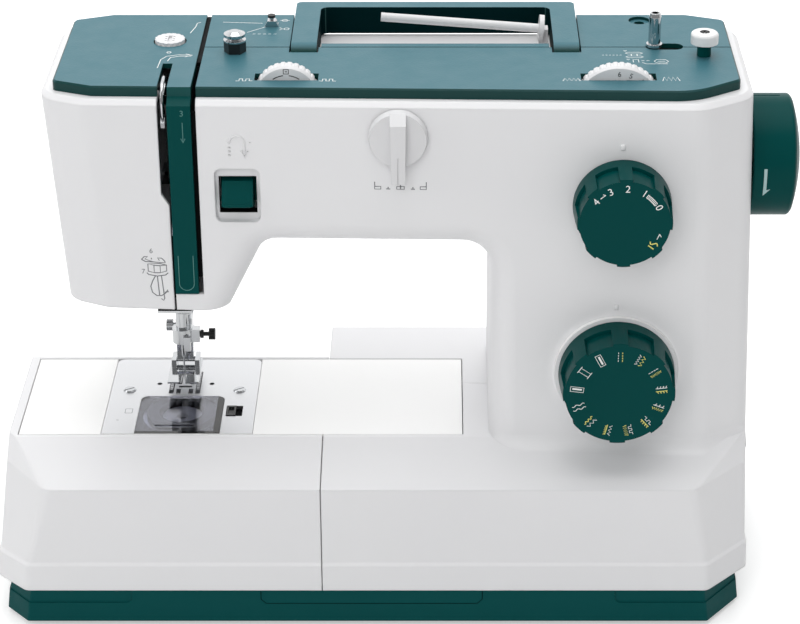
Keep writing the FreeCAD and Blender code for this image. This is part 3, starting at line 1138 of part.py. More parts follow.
def dial_brackets():
    """Brackets with the axles of the thumb wheels, and the two thread tension discs."""
    brackets = []
    for x, z, _ in THUMB_WHEELS:
        plate = box((x - 9, x + 9), (FLANGE_FRONT - 2, FLANGE_FRONT), (FLANGE_TOP - 5, TOP - LID_SKIN - 2))
        foot = box((x - 9, x + 9), (FLANGE_FRONT, FLANGE_FRONT + 16), (FLANGE_TOP, FLANGE_TOP + 2))
        axle = rod_y(x, (THUMB_FRONT - 0.5, FLANGE_FRONT - 1), z, AXLE)
        brackets.append(fuse(plate, foot, axle))
    for start in (0.3, 2.0):
        y = (FLANGE_FRONT - 2 - start - 1.4, FLANGE_FRONT - 2 - start)
        disc = rod_y(TENSION_X, y, TENSION_Z, TOP - LID_SKIN - TENSION_Z - 0.6)
        brackets.append(disc.cut(rod_y(TENSION_X, (y[0] - 1, y[1] + 1), TENSION_Z, AXLE + SLIP)))
    return Part.makeCompound(brackets)


def pressure_dial():
    """Scalloped dial with a coin slot, sunk in the lid over the presser bar."""
    cap = rod_z(NEEDLE_X, PRESSER_Y, (TOP - 1.8, TOP + 1.4), PRESSURE_CAP)
    scallops = []
    for i in range(16):
        turn = 2 * math.pi * i / 16
        reach = PRESSURE_CAP + 0.6
        scallops.append(rod_z(NEEDLE_X + reach * math.cos(turn), PRESSER_Y + reach * math.sin(turn),
                              (TOP, TOP + 4), 1.0))
    slot = box((NEEDLE_X - 0.9, NEEDLE_X + 0.9), (PRESSER_Y - 4, PRESSER_Y + 4), (TOP + 0.3, TOP + 4))
    stem = rod_z(NEEDLE_X, PRESSER_Y, (FLANGE_TOP + 1, TOP - 1), PRESSURE_STEM)
    return fuse(cap.cut(Part.makeCompound(scallops)).cut(slot), stem)


# Thread delivery, winder and handle

def winder_arm():
    """Slide under the lids that carries the bobbin winder spindle."""
    plate = box((WINDER_X - 14, WINDER_X + 14), (WINDER_Y - 9, WINDER_Y + 9), (TOP - LID_SKIN - 3, TOP - LID_SKIN))
    return plate.cut(rod_z(WINDER_X, WINDER_Y, (RIM - 10, TOP), 3 + SLIP))


def winder_spindle():
    """Spindle with a bobbin spring and the friction wheel below."""
    spindle = rod_z(WINDER_X, WINDER_Y, (FLANGE_TOP + 3, TOP + 15.5), 3.0)
    tip = Part.makeCone(3.0, 2.6, 2.0, Vector(WINDER_X, WINDER_Y, TOP + 15.5))
    bore = rod_z(WINDER_X, WINDER_Y, (TOP + 10, TOP + 19), 1.7)
    seat = rod_z(WINDER_X, WINDER_Y, (TOP + 0.4, TOP + 1.8), 3.9)
    tyre = rod_z(WINDER_X, WINDER_Y, (FLANGE_TOP + 3, FLANGE_TOP + 9), 11.0)
    return fuse(spindle, tip, seat, tyre).cut(bore)


def winder_stopper():
    """Stop for a full bobbin: disc on a short stem."""
    stem = rod_z(STOPPER_X, STOPPER_Y, (TOP, TOP + 6.5), 3.4)
    disc = rod_z(STOPPER_X, STOPPER_Y, (TOP + 6.5, TOP + 12.0), 6.7)
    disc = disc.makeFillet(1.6, [edge for edge in disc.Edges if middle_of(edge).z > TOP + 11.9])
    screw = fuse(*[box((STOPPER_X - a, STOPPER_X + a), (STOPPER_Y - b, STOPPER_Y + b), (TOP + 11, TOP + 13))
                   for a, b in ((1.6, 0.4), (0.4, 1.6))])
    recess = rod_z(STOPPER_X, STOPPER_Y, (TOP + 11.2, TOP + 13), 2.4)
    head = rod_z(STOPPER_X, STOPPER_Y, (TOP + 11, TOP + 11.8), 2.0)
    return fuse(stem, disc.cut(recess), head).cut(screw)


def winder_guide():
    """Bobbin thread guide: six-sided foot with two polished discs and a domed screw."""
    x = NEEDLE_X + 33.0
    y = SEAM - 5.5
    hexagon = [(x + 5.4 * math.cos(math.pi * i / 3), y + 5.4 * math.sin(math.pi * i / 3)) for i in range(6)]
    return fuse(prism_z(hexagon, (TOP, TOP + 5.2)), rod_z(x, y, (TOP + 5, TOP + 9), 3.0),
                rod_z(x, y, (TOP + 5.6, TOP + 6.4), 5.5), Part.makeCone(4.0, 5.2, 0.8, Vector(x, y, TOP + 7.2)),
                rod_z(x, y, (TOP + 8.0, TOP + 9.4), 5.2), Part.makeCone(4.4, 2.6, 1.2, Vector(x, y, TOP + 9.4)))


def upper_guide():
    """Small upper guide on the rear lid: splayed foot, neck and button."""
    x = NEEDLE_X + 48.7
    y = SEAM + 30.5
    foot = prism_y([(x - 3.6, TOP), (x + 3.6, TOP), (x + 2.0, TOP + 3), (x - 2.0, TOP + 3)], (y - 2.4, y + 2.4))
    return fuse(foot, rod_z(x, y, (TOP + 3, TOP + 4.4), 1.1), rod_z(x, y, (TOP + 4.4, TOP + 5.6), 1.9))


def thread_guides():
    return Part.makeCompound([winder_guide(), upper_guide()])


def spool_pin():
    """Tilted spool pin with its flange on a post in the handle recess."""
    right = HANDLE_RIGHT - HANDLE_ARM - 2.0
    base = Vector(right - 2.2, SPOOL_Y, TOP + 2.4)
    lean = Vector(-math.cos(SPOOL_LEAN), 0, math.sin(SPOOL_LEAN))
    post = box((right - 4.4, right), (SPOOL_Y - 3, SPOOL_Y + 3), (TUB_FLOOR, TOP + 3))
    flange = Part.makeCylinder(6.75, 2.4, base, lean)
    pin = Part.makeCylinder(SPOOL_RADIUS, SPOOL_LENGTH, base, lean)
    return fuse(post, flange, pin)


def carry_handle():
    """U-shaped handle with moulded pivot pins, folded back into the recess."""
    z = (PIVOT_Z - HANDLE_HEIGHT / 2, PIVOT_Z + HANDLE_HEIGHT / 2)
    outline = rectangle((HANDLE_LEFT, HANDLE_RIGHT), (PIVOT_Y, HANDLE_REAR))
    inner = rectangle((HANDLE_LEFT + HANDLE_ARM, HANDLE_RIGHT - HANDLE_ARM), (PIVOT_Y - 20, HANDLE_REAR - HANDLE_BAR))
    body = prism_z(outline, z, [0, 0, 3.0, 3.0])
    for left in (HANDLE_LEFT, HANDLE_RIGHT - HANDLE_ARM):
        body = body.fuse(rod_x((left, left + HANDLE_ARM), PIVOT_Y, PIVOT_Z, HANDLE_HEIGHT / 2))
    body = body.cut(prism_z(inner, (z[0] - 1, z[1] + 1), [0, 0, 4.0, 4.0]))
    body = body.removeSplitter()
    for end in (HANDLE_LEFT - EAR + 1, HANDLE_RIGHT - 2):
        body = body.fuse(rod_x((end, end + EAR + 1), PIVOT_Y, PIVOT_Z, HANDLE_PIN))
    return body


# Mains inlet and switch

def inlet_body():
    """Two-pin inlet let into the right-hand side of the base."""
    body = box((RIGHT - 11, RIGHT), (INLET_Y + SEAT, INLET_Y + 28 - SEAT), (INLET_Z + SEAT, INLET_Z + 20 - SEAT))
    flange = box((RIGHT - 1, RIGHT + 1), (INLET_Y - 3, INLET_Y + 31), (INLET_Z - 2, INLET_Z + 22))
    socket = box((RIGHT - 9, RIGHT + 2), (INLET_Y + 4, INLET_Y + 24), (INLET_Z + 5, INLET_Z + 15))
    pins = [rod_x((RIGHT - 10, RIGHT - 2), INLET_Y + y, INLET_Z + 10, 1.2) for y in (10, 18)]
    return fuse(fuse(body, flange).cut(socket), *pins)


def switch_frame():
    """Frame that the rocker tips in."""
    frame = box((RIGHT - 14, RIGHT + 0.4), (SWITCH_Y + SEAT, SWITCH_Y + 20 - SEAT), (INLET_Z + SEAT, INLET_Z + 20 - SEAT))
    flange = box((RIGHT - 1, RIGHT + 0.4), (SWITCH_Y - 2, SWITCH_Y + 22), (INLET_Z - 2, INLET_Z + 22))
    hollow = box((RIGHT - 12, RIGHT + 1), (SWITCH_Y + 2, SWITCH_Y + 18), (INLET_Z + 3, INLET_Z + 17))
    pin = rod_y(RIGHT - 5, (SWITCH_Y + 1, SWITCH_Y + 19), INLET_Z + 10, 1.5)
    return fuse(fuse(frame, flange).cut(hollow), pin)


def mains_panel():
    return Part.makeCompound([inlet_body(), switch_frame()])


def power_switch():
    """Rocker that tips about a pin along Y."""
    z = INLET_Z + 10
    rocker = prism_y([(RIGHT - 7.5, z - 4), (RIGHT, z - 6.2), (RIGHT + 1.6, z - 6.2), (RIGHT + 0.6, z),
                      (RIGHT + 1.6, z + 6.2), (RIGHT, z + 6.2), (RIGHT - 7.5, z + 4)],
                     (SWITCH_Y + 2.4, SWITCH_Y + 17.6))
    return rocker.cut(rod_y(RIGHT - 5, (SWITCH_Y, SWITCH_Y + 20), z, 1.5 + SLIP))


NODES = [
    base_tray, rubber_feet, extension_table, free_arm_casing, bed_cover, needle_plate, needle_plate_screws,
    hook_cover, release_button, hook, bobbin_case, bobbin, feed_dog, main_frame, shaft_bushes, main_shaft,
    timing_belt, motor_belt, motor, motor_shaft, lower_shaft, handwheel, needle_bar, needle_link, needle_clamp,
    clamp_screw, needle, take_up_lever, presser_bar, presser_spring, foot_holder, presser_foot, presser_lever,
    sewing_lamp, length_dial, pattern_dial, control_plate, pointer_knob, reverse_lever, dial_brackets,
    pressure_dial, winder_arm, winder_spindle, winder_stopper, thread_guides,
    spool_pin, carry_handle, mains_panel, power_switch, thread_guide_plate, thread_channel,
]


def main():
    shapes = {make.__name__: make() for make in NODES}
    shapes.update(covers())
    shapes.update(lids())
    shapes["tension_dial"] = thumb_wheel(*THUMB_WHEELS[0])
    shapes["width_dial"] = thumb_wheel(*THUMB_WHEELS[1])
    for name, shape in shapes.items():
        shape.exportStep(f"parts/{name}.step")


main()
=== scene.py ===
import json
import math

import bpy
from mathutils import Matrix, Vector


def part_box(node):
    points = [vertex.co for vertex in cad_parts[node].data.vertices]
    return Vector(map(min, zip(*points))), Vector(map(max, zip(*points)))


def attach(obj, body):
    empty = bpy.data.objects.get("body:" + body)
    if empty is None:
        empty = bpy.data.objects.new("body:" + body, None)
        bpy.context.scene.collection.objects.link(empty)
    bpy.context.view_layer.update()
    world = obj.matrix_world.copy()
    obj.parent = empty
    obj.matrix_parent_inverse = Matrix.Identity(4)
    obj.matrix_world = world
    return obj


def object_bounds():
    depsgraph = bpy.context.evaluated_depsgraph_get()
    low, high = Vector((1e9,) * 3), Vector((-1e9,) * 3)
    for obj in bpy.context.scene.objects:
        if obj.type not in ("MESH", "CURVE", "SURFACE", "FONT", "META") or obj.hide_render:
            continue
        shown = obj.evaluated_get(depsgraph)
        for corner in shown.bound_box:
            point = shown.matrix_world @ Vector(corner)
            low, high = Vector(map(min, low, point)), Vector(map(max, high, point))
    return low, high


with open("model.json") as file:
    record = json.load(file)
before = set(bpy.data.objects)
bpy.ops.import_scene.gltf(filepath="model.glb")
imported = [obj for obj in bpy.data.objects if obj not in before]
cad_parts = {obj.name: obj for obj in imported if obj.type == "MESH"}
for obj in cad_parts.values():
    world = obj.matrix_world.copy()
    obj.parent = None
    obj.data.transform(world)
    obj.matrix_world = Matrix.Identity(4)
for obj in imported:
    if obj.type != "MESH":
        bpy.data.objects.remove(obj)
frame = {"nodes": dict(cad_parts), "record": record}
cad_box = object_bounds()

MM = 0.001
scene = bpy.context.scene
scene.view_settings.view_transform = "Standard"

# Camera: at the front, 27 degrees down, shifted sideways to the photograph's frame of 800 x 624.
CAMERA_SPOT = (0.0228, -1.1398, 0.7144)
LOOK_DOWN = math.radians(27)
bpy.ops.object.select_all(action="DESELECT")
bpy.ops.object.camera_add(location=CAMERA_SPOT, rotation=(math.pi / 2 - LOOK_DOWN, 0, 0))
camera = bpy.context.object
camera.data.sensor_width = 36
camera.data.lens = 112.5
camera.data.shift_x = -0.05
scene.camera = camera


# Finishes

# Sizes of the patterns, in mm: slow drift of a shade, marks of handling, patches of a print.
DRIFT, HANDLING, PRINT_PATCH = 70, 11, 0.6
# Most values of a noise pattern lie between these two.
NOISE_LOW, NOISE_HIGH = 0.3, 0.7
# Rounding of the edges of metal pieces, in mm.
METAL_EDGE = 0.25


def srgb(code):
    """Linear colour of an sRGB hex value."""
    channels = [int(code[at : at + 2], 16) / 255 for at in (1, 3, 5)]
    return [c / 12.92 if c <= 0.04045 else ((c + 0.055) / 1.055) ** 2.4 for c in channels] + [1]


def add(tree, kind, inputs=(), **settings):
    """Add a shader node with its settings; an input is a value or the socket that feeds it."""
    made = tree.nodes.new(kind)
    for key, value in settings.items():
        setattr(made, key, value)
    for socket, value in dict(inputs).items():
        if isinstance(value, bpy.types.NodeSocket):
            tree.links.new(value, made.inputs[socket])
        else:
            made.inputs[socket].default_value = value
    return made


def new_finish(name, **sockets):
    """An empty finish: its tree, its surface shader and the Object coordinates."""
    finish = bpy.data.materials.new(name)
    finish.use_nodes = True
    tree = finish.node_tree
    tree.nodes.clear()
    values = {key.replace("_", " "): value for key, value in sockets.items()}
    surface = add(tree, "ShaderNodeBsdfPrincipled", values)
    add(tree, "ShaderNodeOutputMaterial", {"Surface": surface.outputs[0]})
    place = add(tree, "ShaderNodeTexCoord").outputs["Object"]
    return finish, tree, surface, place


def feed(tree, surface, **sources):
    """Link sockets to the surface shader."""
    for key, socket in sources.items():
        tree.links.new(socket, surface.inputs[key.replace("_", " ")])


def moulded(name, colour, shade, gloss, grain, depth, edge=0.5, painted_sheen=None, **sockets):
    """Injection moulded plastic: spark eroded grain, slow shade drift, handling marks, soft edges.

    An optional second colour is a painted sheen: it is mixed in on faces that turn up, standing in
    for the pale reflection of the light on the coarse grain.
    """
    finish, tree, surface, place = new_finish(name, **sockets)
    drift = add(
        tree, "ShaderNodeTexNoise", {"Vector": place, "Scale": 1 / (DRIFT * MM), "Detail": 2}
    )
    tone = add(
        tree,
        "ShaderNodeMix",
        {0: drift.outputs["Fac"], 6: srgb(colour), 7: srgb(shade)},
        data_type="RGBA",
    )
    handled = add(
        tree, "ShaderNodeTexNoise", {"Vector": place, "Scale": 1 / (HANDLING * MM), "Detail": 4}
    )
    rough = add(
        tree,
        "ShaderNodeMapRange",
        {
            "Value": handled.outputs["Fac"],
            "From Min": NOISE_LOW,
            "From Max": NOISE_HIGH,
            "To Min": gloss[0],
            "To Max": gloss[1],
        },
    )
    pits = add(
        tree, "ShaderNodeTexNoise", {"Vector": place, "Scale": 1 / (grain * MM), "Detail": 1.5}
    )
    soft = add(tree, "ShaderNodeBevel", {"Radius": edge * MM}, samples=4)
    relief = add(
        tree,
        "ShaderNodeBump",
        {"Height": pits.outputs["Fac"], "Distance": depth * MM, "Normal": soft.outputs[0]},
    )
    # Painted sheen: faces whose normal points up are painted towards the paler colour.
    if painted_sheen:
        normal = add(tree, "ShaderNodeNewGeometry").outputs["Normal"]
        facing = add(tree, "ShaderNodeSeparateXYZ", {0: normal})
        sheen_mask = add(
            tree,
            "ShaderNodeMapRange",
            {"Value": facing.outputs["Z"], "From Min": 0.7, "From Max": 0.98},
        )
        tone = add(
            tree,
            "ShaderNodeMix",
            {0: sheen_mask.outputs[0], 6: tone.outputs[2], 7: srgb(painted_sheen)},
            data_type="RGBA",
        )
    feed(
        tree,
        surface,
        Base_Color=tone.outputs[2],
        Roughness=rough.outputs[0],
        Normal=relief.outputs[0],
    )
    return finish


def metal(name, colour, gloss, stretch, line, depth):
    """Bright metal: fine tool lines along one way, drawn out by the stretch of their pattern."""
    finish, tree, surface, place = new_finish(name, Base_Color=srgb(colour), Metallic=1.0)
    drawn = add(tree, "ShaderNodeMapping", {"Vector": place, "Scale": stretch})
    lines = add(
        tree,
        "ShaderNodeTexNoise",
        {"Vector": drawn.outputs[0], "Scale": 1 / (line * MM), "Detail": 3},
    )
    rough = add(
        tree,
        "ShaderNodeMapRange",
        {
            "Value": lines.outputs["Fac"],
            "From Min": NOISE_LOW,
            "From Max": NOISE_HIGH,
            "To Min": gloss[0],
            "To Max": gloss[1],
        },
    )
    soft = add(tree, "ShaderNodeBevel", {"Radius": METAL_EDGE * MM}, samples=4)
    relief = add(
        tree,
        "ShaderNodeBump",
        {"Height": lines.outputs["Fac"], "Distance": depth * MM, "Normal": soft.outputs[0]},
    )
    feed(tree, surface, Roughness=rough.outputs[0], Normal=relief.outputs[0])
    return finish


def ink(name, colour):
    """Screen printed ink: a flat film with a faintly uneven cover."""
    finish, tree, surface, place = new_finish(name)
    cover = add(
        tree, "ShaderNodeTexNoise", {"Vector": place, "Scale": 1 / (PRINT_PATCH * MM), "Detail": 2}
    )
    dense = srgb(colour)
    thin = [0.86 * c for c in dense[:3]] + [1]
    tone = add(
        tree, "ShaderNodeMix", {0: cover.outputs["Fac"], 6: dense, 7: thin}, data_type="RGBA"
    )
    rough = add(
        tree, "ShaderNodeMapRange", {"Value": cover.outputs["Fac"], "To Min": 0.35, "To Max": 0.6}
    )
    feed(tree, surface, Base_Color=tone.outputs[2], Roughness=rough.outputs[0])
    return finish


# White ABS of the covers: satin, near neutral, a fine eroded grain that only dulls the shine.
white_abs = moulded(
    "moulded_white_abs", "#E6E6E7", "#E2E2E4", (0.30, 0.40), 0.7, 0.012, edge=1.2
)
# Bed: the same ABS with a smoother face, painted whiter than the covers as painted light.
painted_light_bed_abs = moulded("moulded_bed_abs", "#FCFCFB", "#F8F8F7", (0.30, 0.40), 0.7, 0.010, edge=0.6)
# Painted sheen of the grained green on faces that turn up: a pale blue green that stands in for
# the reflection of the light.
GREEN_PAINTED_SHEEN = "#3B6B76"
# Green ABS of the lids: dark teal with a leather-fine grain; its pale top sheen is painted into
# the colour of faces that turn up.
lid_abs = moulded(
    "grained_green_abs",
    "#003433",
    "#003A38",
    (0.34, 0.44),
    1.1,
    0.08,
    edge=0.4,
    painted_sheen=GREEN_PAINTED_SHEEN,
    Specular_IOR_Level=0.26,
)
# Green ABS of the dials and wheel: the same teal from a smoother mould, deep, with little shine.
dial_abs = moulded(
    "moulded_dial_abs",
    "#003E3D",
    "#004442",
    (0.30, 0.38),
    0.5,
    0.008,
    edge=0.4,
    Specular_IOR_Level=0.06,
)
# Thread divider: upright like the dials, but its top lies in the lid and has the lid's painted
# sheen.
divider_abs = moulded(
    "moulded_divider_abs",
    "#004443",
    "#004A48",
    (0.32, 0.42),
    0.7,
    0.02,
    edge=0.4,
    painted_sheen=GREEN_PAINTED_SHEEN,
    Specular_IOR_Level=0.24,
)
# Green tray: a matt base moulding, like polypropylene.
tray_abs = moulded(
    "matt_green_tray",
    "#004545",
    "#024B4B",
    (0.42, 0.54),
    1.0,
    0.03,
    edge=0.6,
    Specular_IOR_Level=0.08,
)
# Pale grey wheels and knob: satin acetal.
acetal = moulded("satin_acetal", "#DCDCDD", "#D6D6D8", (0.30, 0.42), 0.5, 0.01, 0.4)
# White small parts: a glossy white moulding.
white_gloss = moulded(
    "glossy_white_moulding", "#EBEBEB", "#E5E5E6", (0.18, 0.28), 0.8, 0.006, 0.35
)
# Spool pin: the same moulding, a shade greyer and less glossy.
spool_white = moulded("white_spool_pin", "#D5D5D6", "#CECED0", (0.22, 0.34), 0.8, 0.008, 0.35)
# Black ABS of knobs, guides and the inlet: satin black.
black_abs = moulded("moulded_black_abs", "#141516", "#1B1C1D", (0.28, 0.40), 0.5, 0.01, 0.3)
# Inner walls of the handle: the same green, rough, painted much darker as painted shade; the
# tray's groove line uses it too.
painted_shade_green = moulded(
    "painted_shade_rough_green",
    "#001719",
    "#001C1E",
    (0.5, 0.62),
    0.8,
    0.03,
    edge=0.4,
    Specular_IOR_Level=0.02,
)
# Matt black of the thread slot liner, also painted on walls deep in openings as painted shade: it
# gives almost no shine.
liner_black_and_painted_shade = moulded(
    "matt_black_liner_and_painted_shade",
    "#0B0C0D",
    "#101112",
    (0.55, 0.68),
    0.6,
    0.02,
    edge=0.3,
    Specular_IOR_Level=0.06,
)
# Rubber feet and belts: dull, dusty black.
rubber = moulded("moulded_black_rubber", "#1A1A1A", "#242424", (0.62, 0.78), 0.9, 0.05, 0.4)
# Lacquer of the motor case: dark grey, half gloss.
lacquer = moulded("dark_motor_lacquer", "#242528", "#2B2C2F", (0.32, 0.44), 1.2, 0.02, 0.4)
# Chromium plate: mirror bright with faint polishing lines.
chrome = metal("polished_chrome_plate", "#C9CBCD", (0.06, 0.13), (1, 1, 4), 1.2, 0.001)
# Needle plate: satin chromed steel, ground along the feed direction.
plate_steel = metal("satin_chromed_plate", "#DEDFE1", (0.34, 0.44), (6, 0.6, 1), 0.9, 0.002)
# Turned steel of shafts and hook: fine rings along the turning.
turned_steel = metal("turned_steel", "#A9ABAE", (0.22, 0.34), (5, 1, 1), 0.8, 0.003)
# Die cast aluminium of the inner frame: grey, grainy cast skin.
casting = metal("die_cast_aluminium", "#A8AAAC", (0.42, 0.60), (1, 1, 1), 1.4, 0.05)
# Sintered bronze of the bushes: warm, dull and porous.
bronze = metal("sintered_bronze", "#A77F45", (0.34, 0.50), (1, 1, 1), 0.7, 0.02)

# Clear polycarbonate hook cover: a thin clear window, faintly grey, with rubbed patches.
clear_cover, tree, surface, place = new_finish(
    "clear_polycarbonate",
    Base_Color=srgb("#B2B4C0"),
    IOR=1.58,
    Transmission_Weight=1.0,
)
rubbed = add(tree, "ShaderNodeTexNoise", {"Vector": place, "Scale": 1 / (6 * MM), "Detail": 5})
dulled = add(
    tree,
    "ShaderNodeMapRange",
    {
        "Value": rubbed.outputs["Fac"],
        "From Min": 0.45,
        "From Max": 0.75,
        "To Min": 0.04,
        "To Max": 0.16,
    },
)
feed(tree, surface, Roughness=dulled.outputs[0])

# Inks of the markings: flat films that hardly shine.
white_ink = ink("white_print_ink", "#F2F4F2")
yellow_ink = ink("yellow_print_ink", "#E9E27A")
grey_ink = ink("grey_print_ink", "#74777A")
dark_ink = ink("dark_print_ink", "#2A2C2E")
teal_ink = ink("pale_teal_ink", "#A9C6C6")
# Paler green for the divider's embossed marks: painted highlight on their raised edges.
sage_painted_highlight = ink("divider_sign_painted_highlight", "#4F8580")

FINISH_OF_SLOT = {
    "white_shell": white_abs,
    "green_plastic": lid_abs,
    "dial_green": dial_abs,
    "tray_green": tray_abs,
    "thumb_wheel": acetal,
    "white_plastic": white_gloss,
    "spool_pin_white": spool_white,
    "black_plastic": black_abs,
    "chrome": chrome,
    "plate_steel": plate_steel,
    "clear_plastic": clear_cover,
    "rubber": rubber,
    "frame_casting": casting,
    "steel": turned_steel,
    "motor_paint": lacquer,
    "bronze": bronze,
}

SLOT_OF_NODE = {p["node"]: p["material_slot"] for p in frame["record"]["subparts"]}
# Upright green pieces share the dials' smoother face; the slot liner is matt black, the bed is
# painted whiter than the covers as painted light, and the take-up lever is duller than the chromed
# pieces.
FINISH_OF_NODE = {
    "handwheel": dial_abs,
    "thread_guide_plate": divider_abs,
    "reverse_lever": dial_abs,
    "thread_channel": liner_black_and_painted_shade,
    "bed_cover": painted_light_bed_abs,
    "take_up_lever": turned_steel,
}
for name, solid in frame["nodes"].items():
    solid.data.materials.clear()
    solid.data.materials.append(FINISH_OF_NODE.get(name, FINISH_OF_SLOT[SLOT_OF_NODE[name]]))


def second_finish(node, finish, chosen):
    """Give another finish to the faces of a CAD node that a test of middle and normal picks."""
    mesh = frame["nodes"][node].data
    mesh.materials.append(finish)
    for facet in mesh.polygons:
        if chosen(facet.center / MM, facet.normal):
            facet.material_index = len(mesh.materials) - 1


def middle_of(node):
    """Middle of a CAD node's box, in mm."""
    return [(low + high) / 2 / MM for low, high in zip(*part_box(node))]


# Places on the CAD nodes, in mm.
LID_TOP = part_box("front_top_cover")[1].z / MM
PLATE_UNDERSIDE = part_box("needle_plate")[0].z / MM
STOPPER = middle_of("winder_stopper")
LEVER = middle_of("reverse_lever")
LEVER_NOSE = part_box("reverse_lever")[0].y / MM
PATTERN_DIAL = middle_of("pattern_dial")
PATTERN_LEFT, PATTERN_RIGHT = [corner.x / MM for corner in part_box("pattern_dial")]
HANDLE_LEFT, HANDLE_RIGHT = [corner.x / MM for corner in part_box("carry_handle")]
HANDLE_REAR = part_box("carry_handle")[1].y / MM


def on_handle_leg(at, way):
    """Inner side of one of the handle's legs."""
    leg = 6
    return abs(way.x) > 0.5 and HANDLE_LEFT + leg < at.x < HANDLE_RIGHT - leg


def on_handle_grip(at, way):
    """Side of the handle's grip that faces its opening."""
    grip = 12
    return way.y < -0.9 and at.y > HANDLE_REAR - grip


def on_dial_collar(at, way):
    """Side of the low collar that the pattern dial sits on."""
    collar = (PATTERN_RIGHT - PATTERN_LEFT) / 2 + 2.5
    across = math.hypot(at.x - PATTERN_DIAL[0], at.z - PATTERN_DIAL[2])
    return abs(way.y) < 0.5 and across < collar


def on_black_fitting(at, _):
    """Foot of the winder guide, in front, or button of the upper guide, behind it."""
    foot, button, between = 5.3, 4.3, 20
    return at.z < LID_TOP + foot if at.y < between else at.z > LID_TOP + button


def on_stopper_stem(at, _):
    """Stem of the winder stopper, below its disc."""
    disc = 6.4
    return at.z < LID_TOP + disc


def on_stopper_screw(at, _):
    """Screw sunk in the middle of the stopper's disc."""
    height, radius = 11, 2.45
    across = math.hypot(at.x - STOPPER[0], at.y - STOPPER[1])
    return at.z > LID_TOP + height and across < radius


def in_lever_mouth(at, way):
    """Walls of the opening that the reverse lever moves in, behind its pale pocket."""
    half_width, half_height, pocket = 9.2, 11, 7.5
    inside = abs(at.x - LEVER[0]) < half_width and abs(at.z - LEVER[2]) < half_height
    return inside and abs(way.y) < 0.5 and at.y > LEVER_NOSE + pocket


def below_lid(at, _):
    """Front of the thread divider, under the lid it rises through."""
    lid = 4
    return at.z < LID_TOP - lid


def below_plate(at, _):
    """Walls of the bed's opening under the needle plate."""
    return at.z < PLATE_UNDERSIDE + 0.1


# The winder guide stands on a black foot; the upper guide has a black button on a bright foot.
second_finish("thread_guides", black_abs, on_black_fitting)
# Painted shade: the walls of the opening round the reverse lever are painted black, for the shade
# inside it.
second_finish("front_cover", liner_black_and_painted_shade, in_lever_mouth)
# Painted light: the side of the collar under the pattern dial gets the bed's whiter finish, for
# the light it catches.
second_finish("front_cover", painted_light_bed_abs, on_dial_collar)
# The stopper's stem is green like the lid; its screw is dark.
second_finish("winder_stopper", dial_abs, on_stopper_stem)
second_finish("winder_stopper", black_abs, on_stopper_screw)
# The divider's front is plain green, without the painted sheen of its top.
second_finish("thread_guide_plate", dial_abs, below_lid)
# Painted shade: the sides of the handle that face its opening get the darker, rough green.
second_finish("carry_handle", painted_shade_green, on_handle_grip)
second_finish("carry_handle", painted_shade_green, on_handle_leg)
# Painted shade: the walls of the bed's opening below the needle plate are painted black.
second_finish("bed_cover", liner_black_and_painted_shade, below_plate)

# Floor and light

bpy.ops.mesh.primitive_plane_add(size=8, location=(0, 0, cad_box[0][2]))
floor = bpy.context.object
floor.name = "studio_floor"
paper = bpy.data.materials.new("white_studio_paper")
paper.use_nodes = True
tree = paper.node_tree
tree.nodes.clear()
ray = add(tree, "ShaderNodeLightPath")
# Away from the lamps, between 0.5 and 1.6 m, the paper is lifted to white: no horizon shows.
place = add(tree, "ShaderNodeTexCoord").outputs["Object"]
away = add(tree, "ShaderNodeVectorMath", {0: place}, operation="LENGTH")
far = add(
    tree,
    "ShaderNodeMapRange",
    {
        "Value": away.outputs["Value"],
        "From Min": 0.5,
        "From Max": 1.6,
        "To Min": 0.4,
        "To Max": 1.0,
    },
)
# Metal and glass show the paper too, lifted less, so that bright metal keeps its contrast.
PAPER_IN_METAL = 0.3
bright = add(
    tree,
    "ShaderNodeMath",
    {0: ray.outputs["Is Glossy Ray"], 1: ray.outputs["Is Transmission Ray"]},
    operation="MAXIMUM",
)
shown = add(
    tree,
    "ShaderNodeMath",
    {0: bright.outputs[0], 1: PAPER_IN_METAL, 2: ray.outputs["Is Camera Ray"]},
    operation="MULTIPLY_ADD",
)
glow = add(
    tree, "ShaderNodeMath", {0: shown.outputs[0], 1: far.outputs[0]}, operation="MULTIPLY"
)
matt = add(tree, "ShaderNodeBsdfDiffuse", {"Color": srgb("#E4E4E4")})
lift = add(tree, "ShaderNodeEmission", {"Color": srgb("#FFFFFF"), "Strength": glow.outputs[0]})
both = add(tree, "ShaderNodeAddShader", {0: matt.outputs[0], 1: lift.outputs[0]})
add(tree, "ShaderNodeOutputMaterial", {"Surface": both.outputs[0]})
floor.data.materials.append(paper)

world = bpy.data.worlds.new("white_studio")
scene.world = world
world.use_nodes = True
tree = world.node_tree
tree.nodes.clear()
ray = add(tree, "ShaderNodeLightPath")
# In reflections the room is darker towards the front, which keeps the greens there deep.
sight = add(tree, "ShaderNodeTexCoord").outputs["Generated"]
way = add(tree, "ShaderNodeSeparateXYZ", {0: sight})
mirror = add(
    tree,
    "ShaderNodeMapRange",
    {
        "Value": way.outputs["Y"],
        "From Min": -0.3,
        "From Max": 0.5,
        "To Min": 0.32,
        "To Max": 1.2,
    },
)
soft = add(
    tree,
    "ShaderNodeMapRange",
    {"Value": ray.outputs["Is Glossy Ray"], "To Min": 0.42, "To Max": mirror.outputs[0]},
)
seen = add(
    tree,
    "ShaderNodeMath",
    {0: ray.outputs["Is Camera Ray"], 1: ray.outputs["Is Transmission Ray"]},
    operation="MAXIMUM",
)
level = add(
    tree,
    "ShaderNodeMapRange",
    {"Value": seen.outputs[0], "To Min": soft.outputs[0], "To Max": 1.0},
)
sky = add(tree, "ShaderNodeBackground", {"Color": srgb("#FFFFFF"), "Strength": level.outputs[0]})
add(tree, "ShaderNodeOutputWorld", {"Surface": sky.outputs[0]})

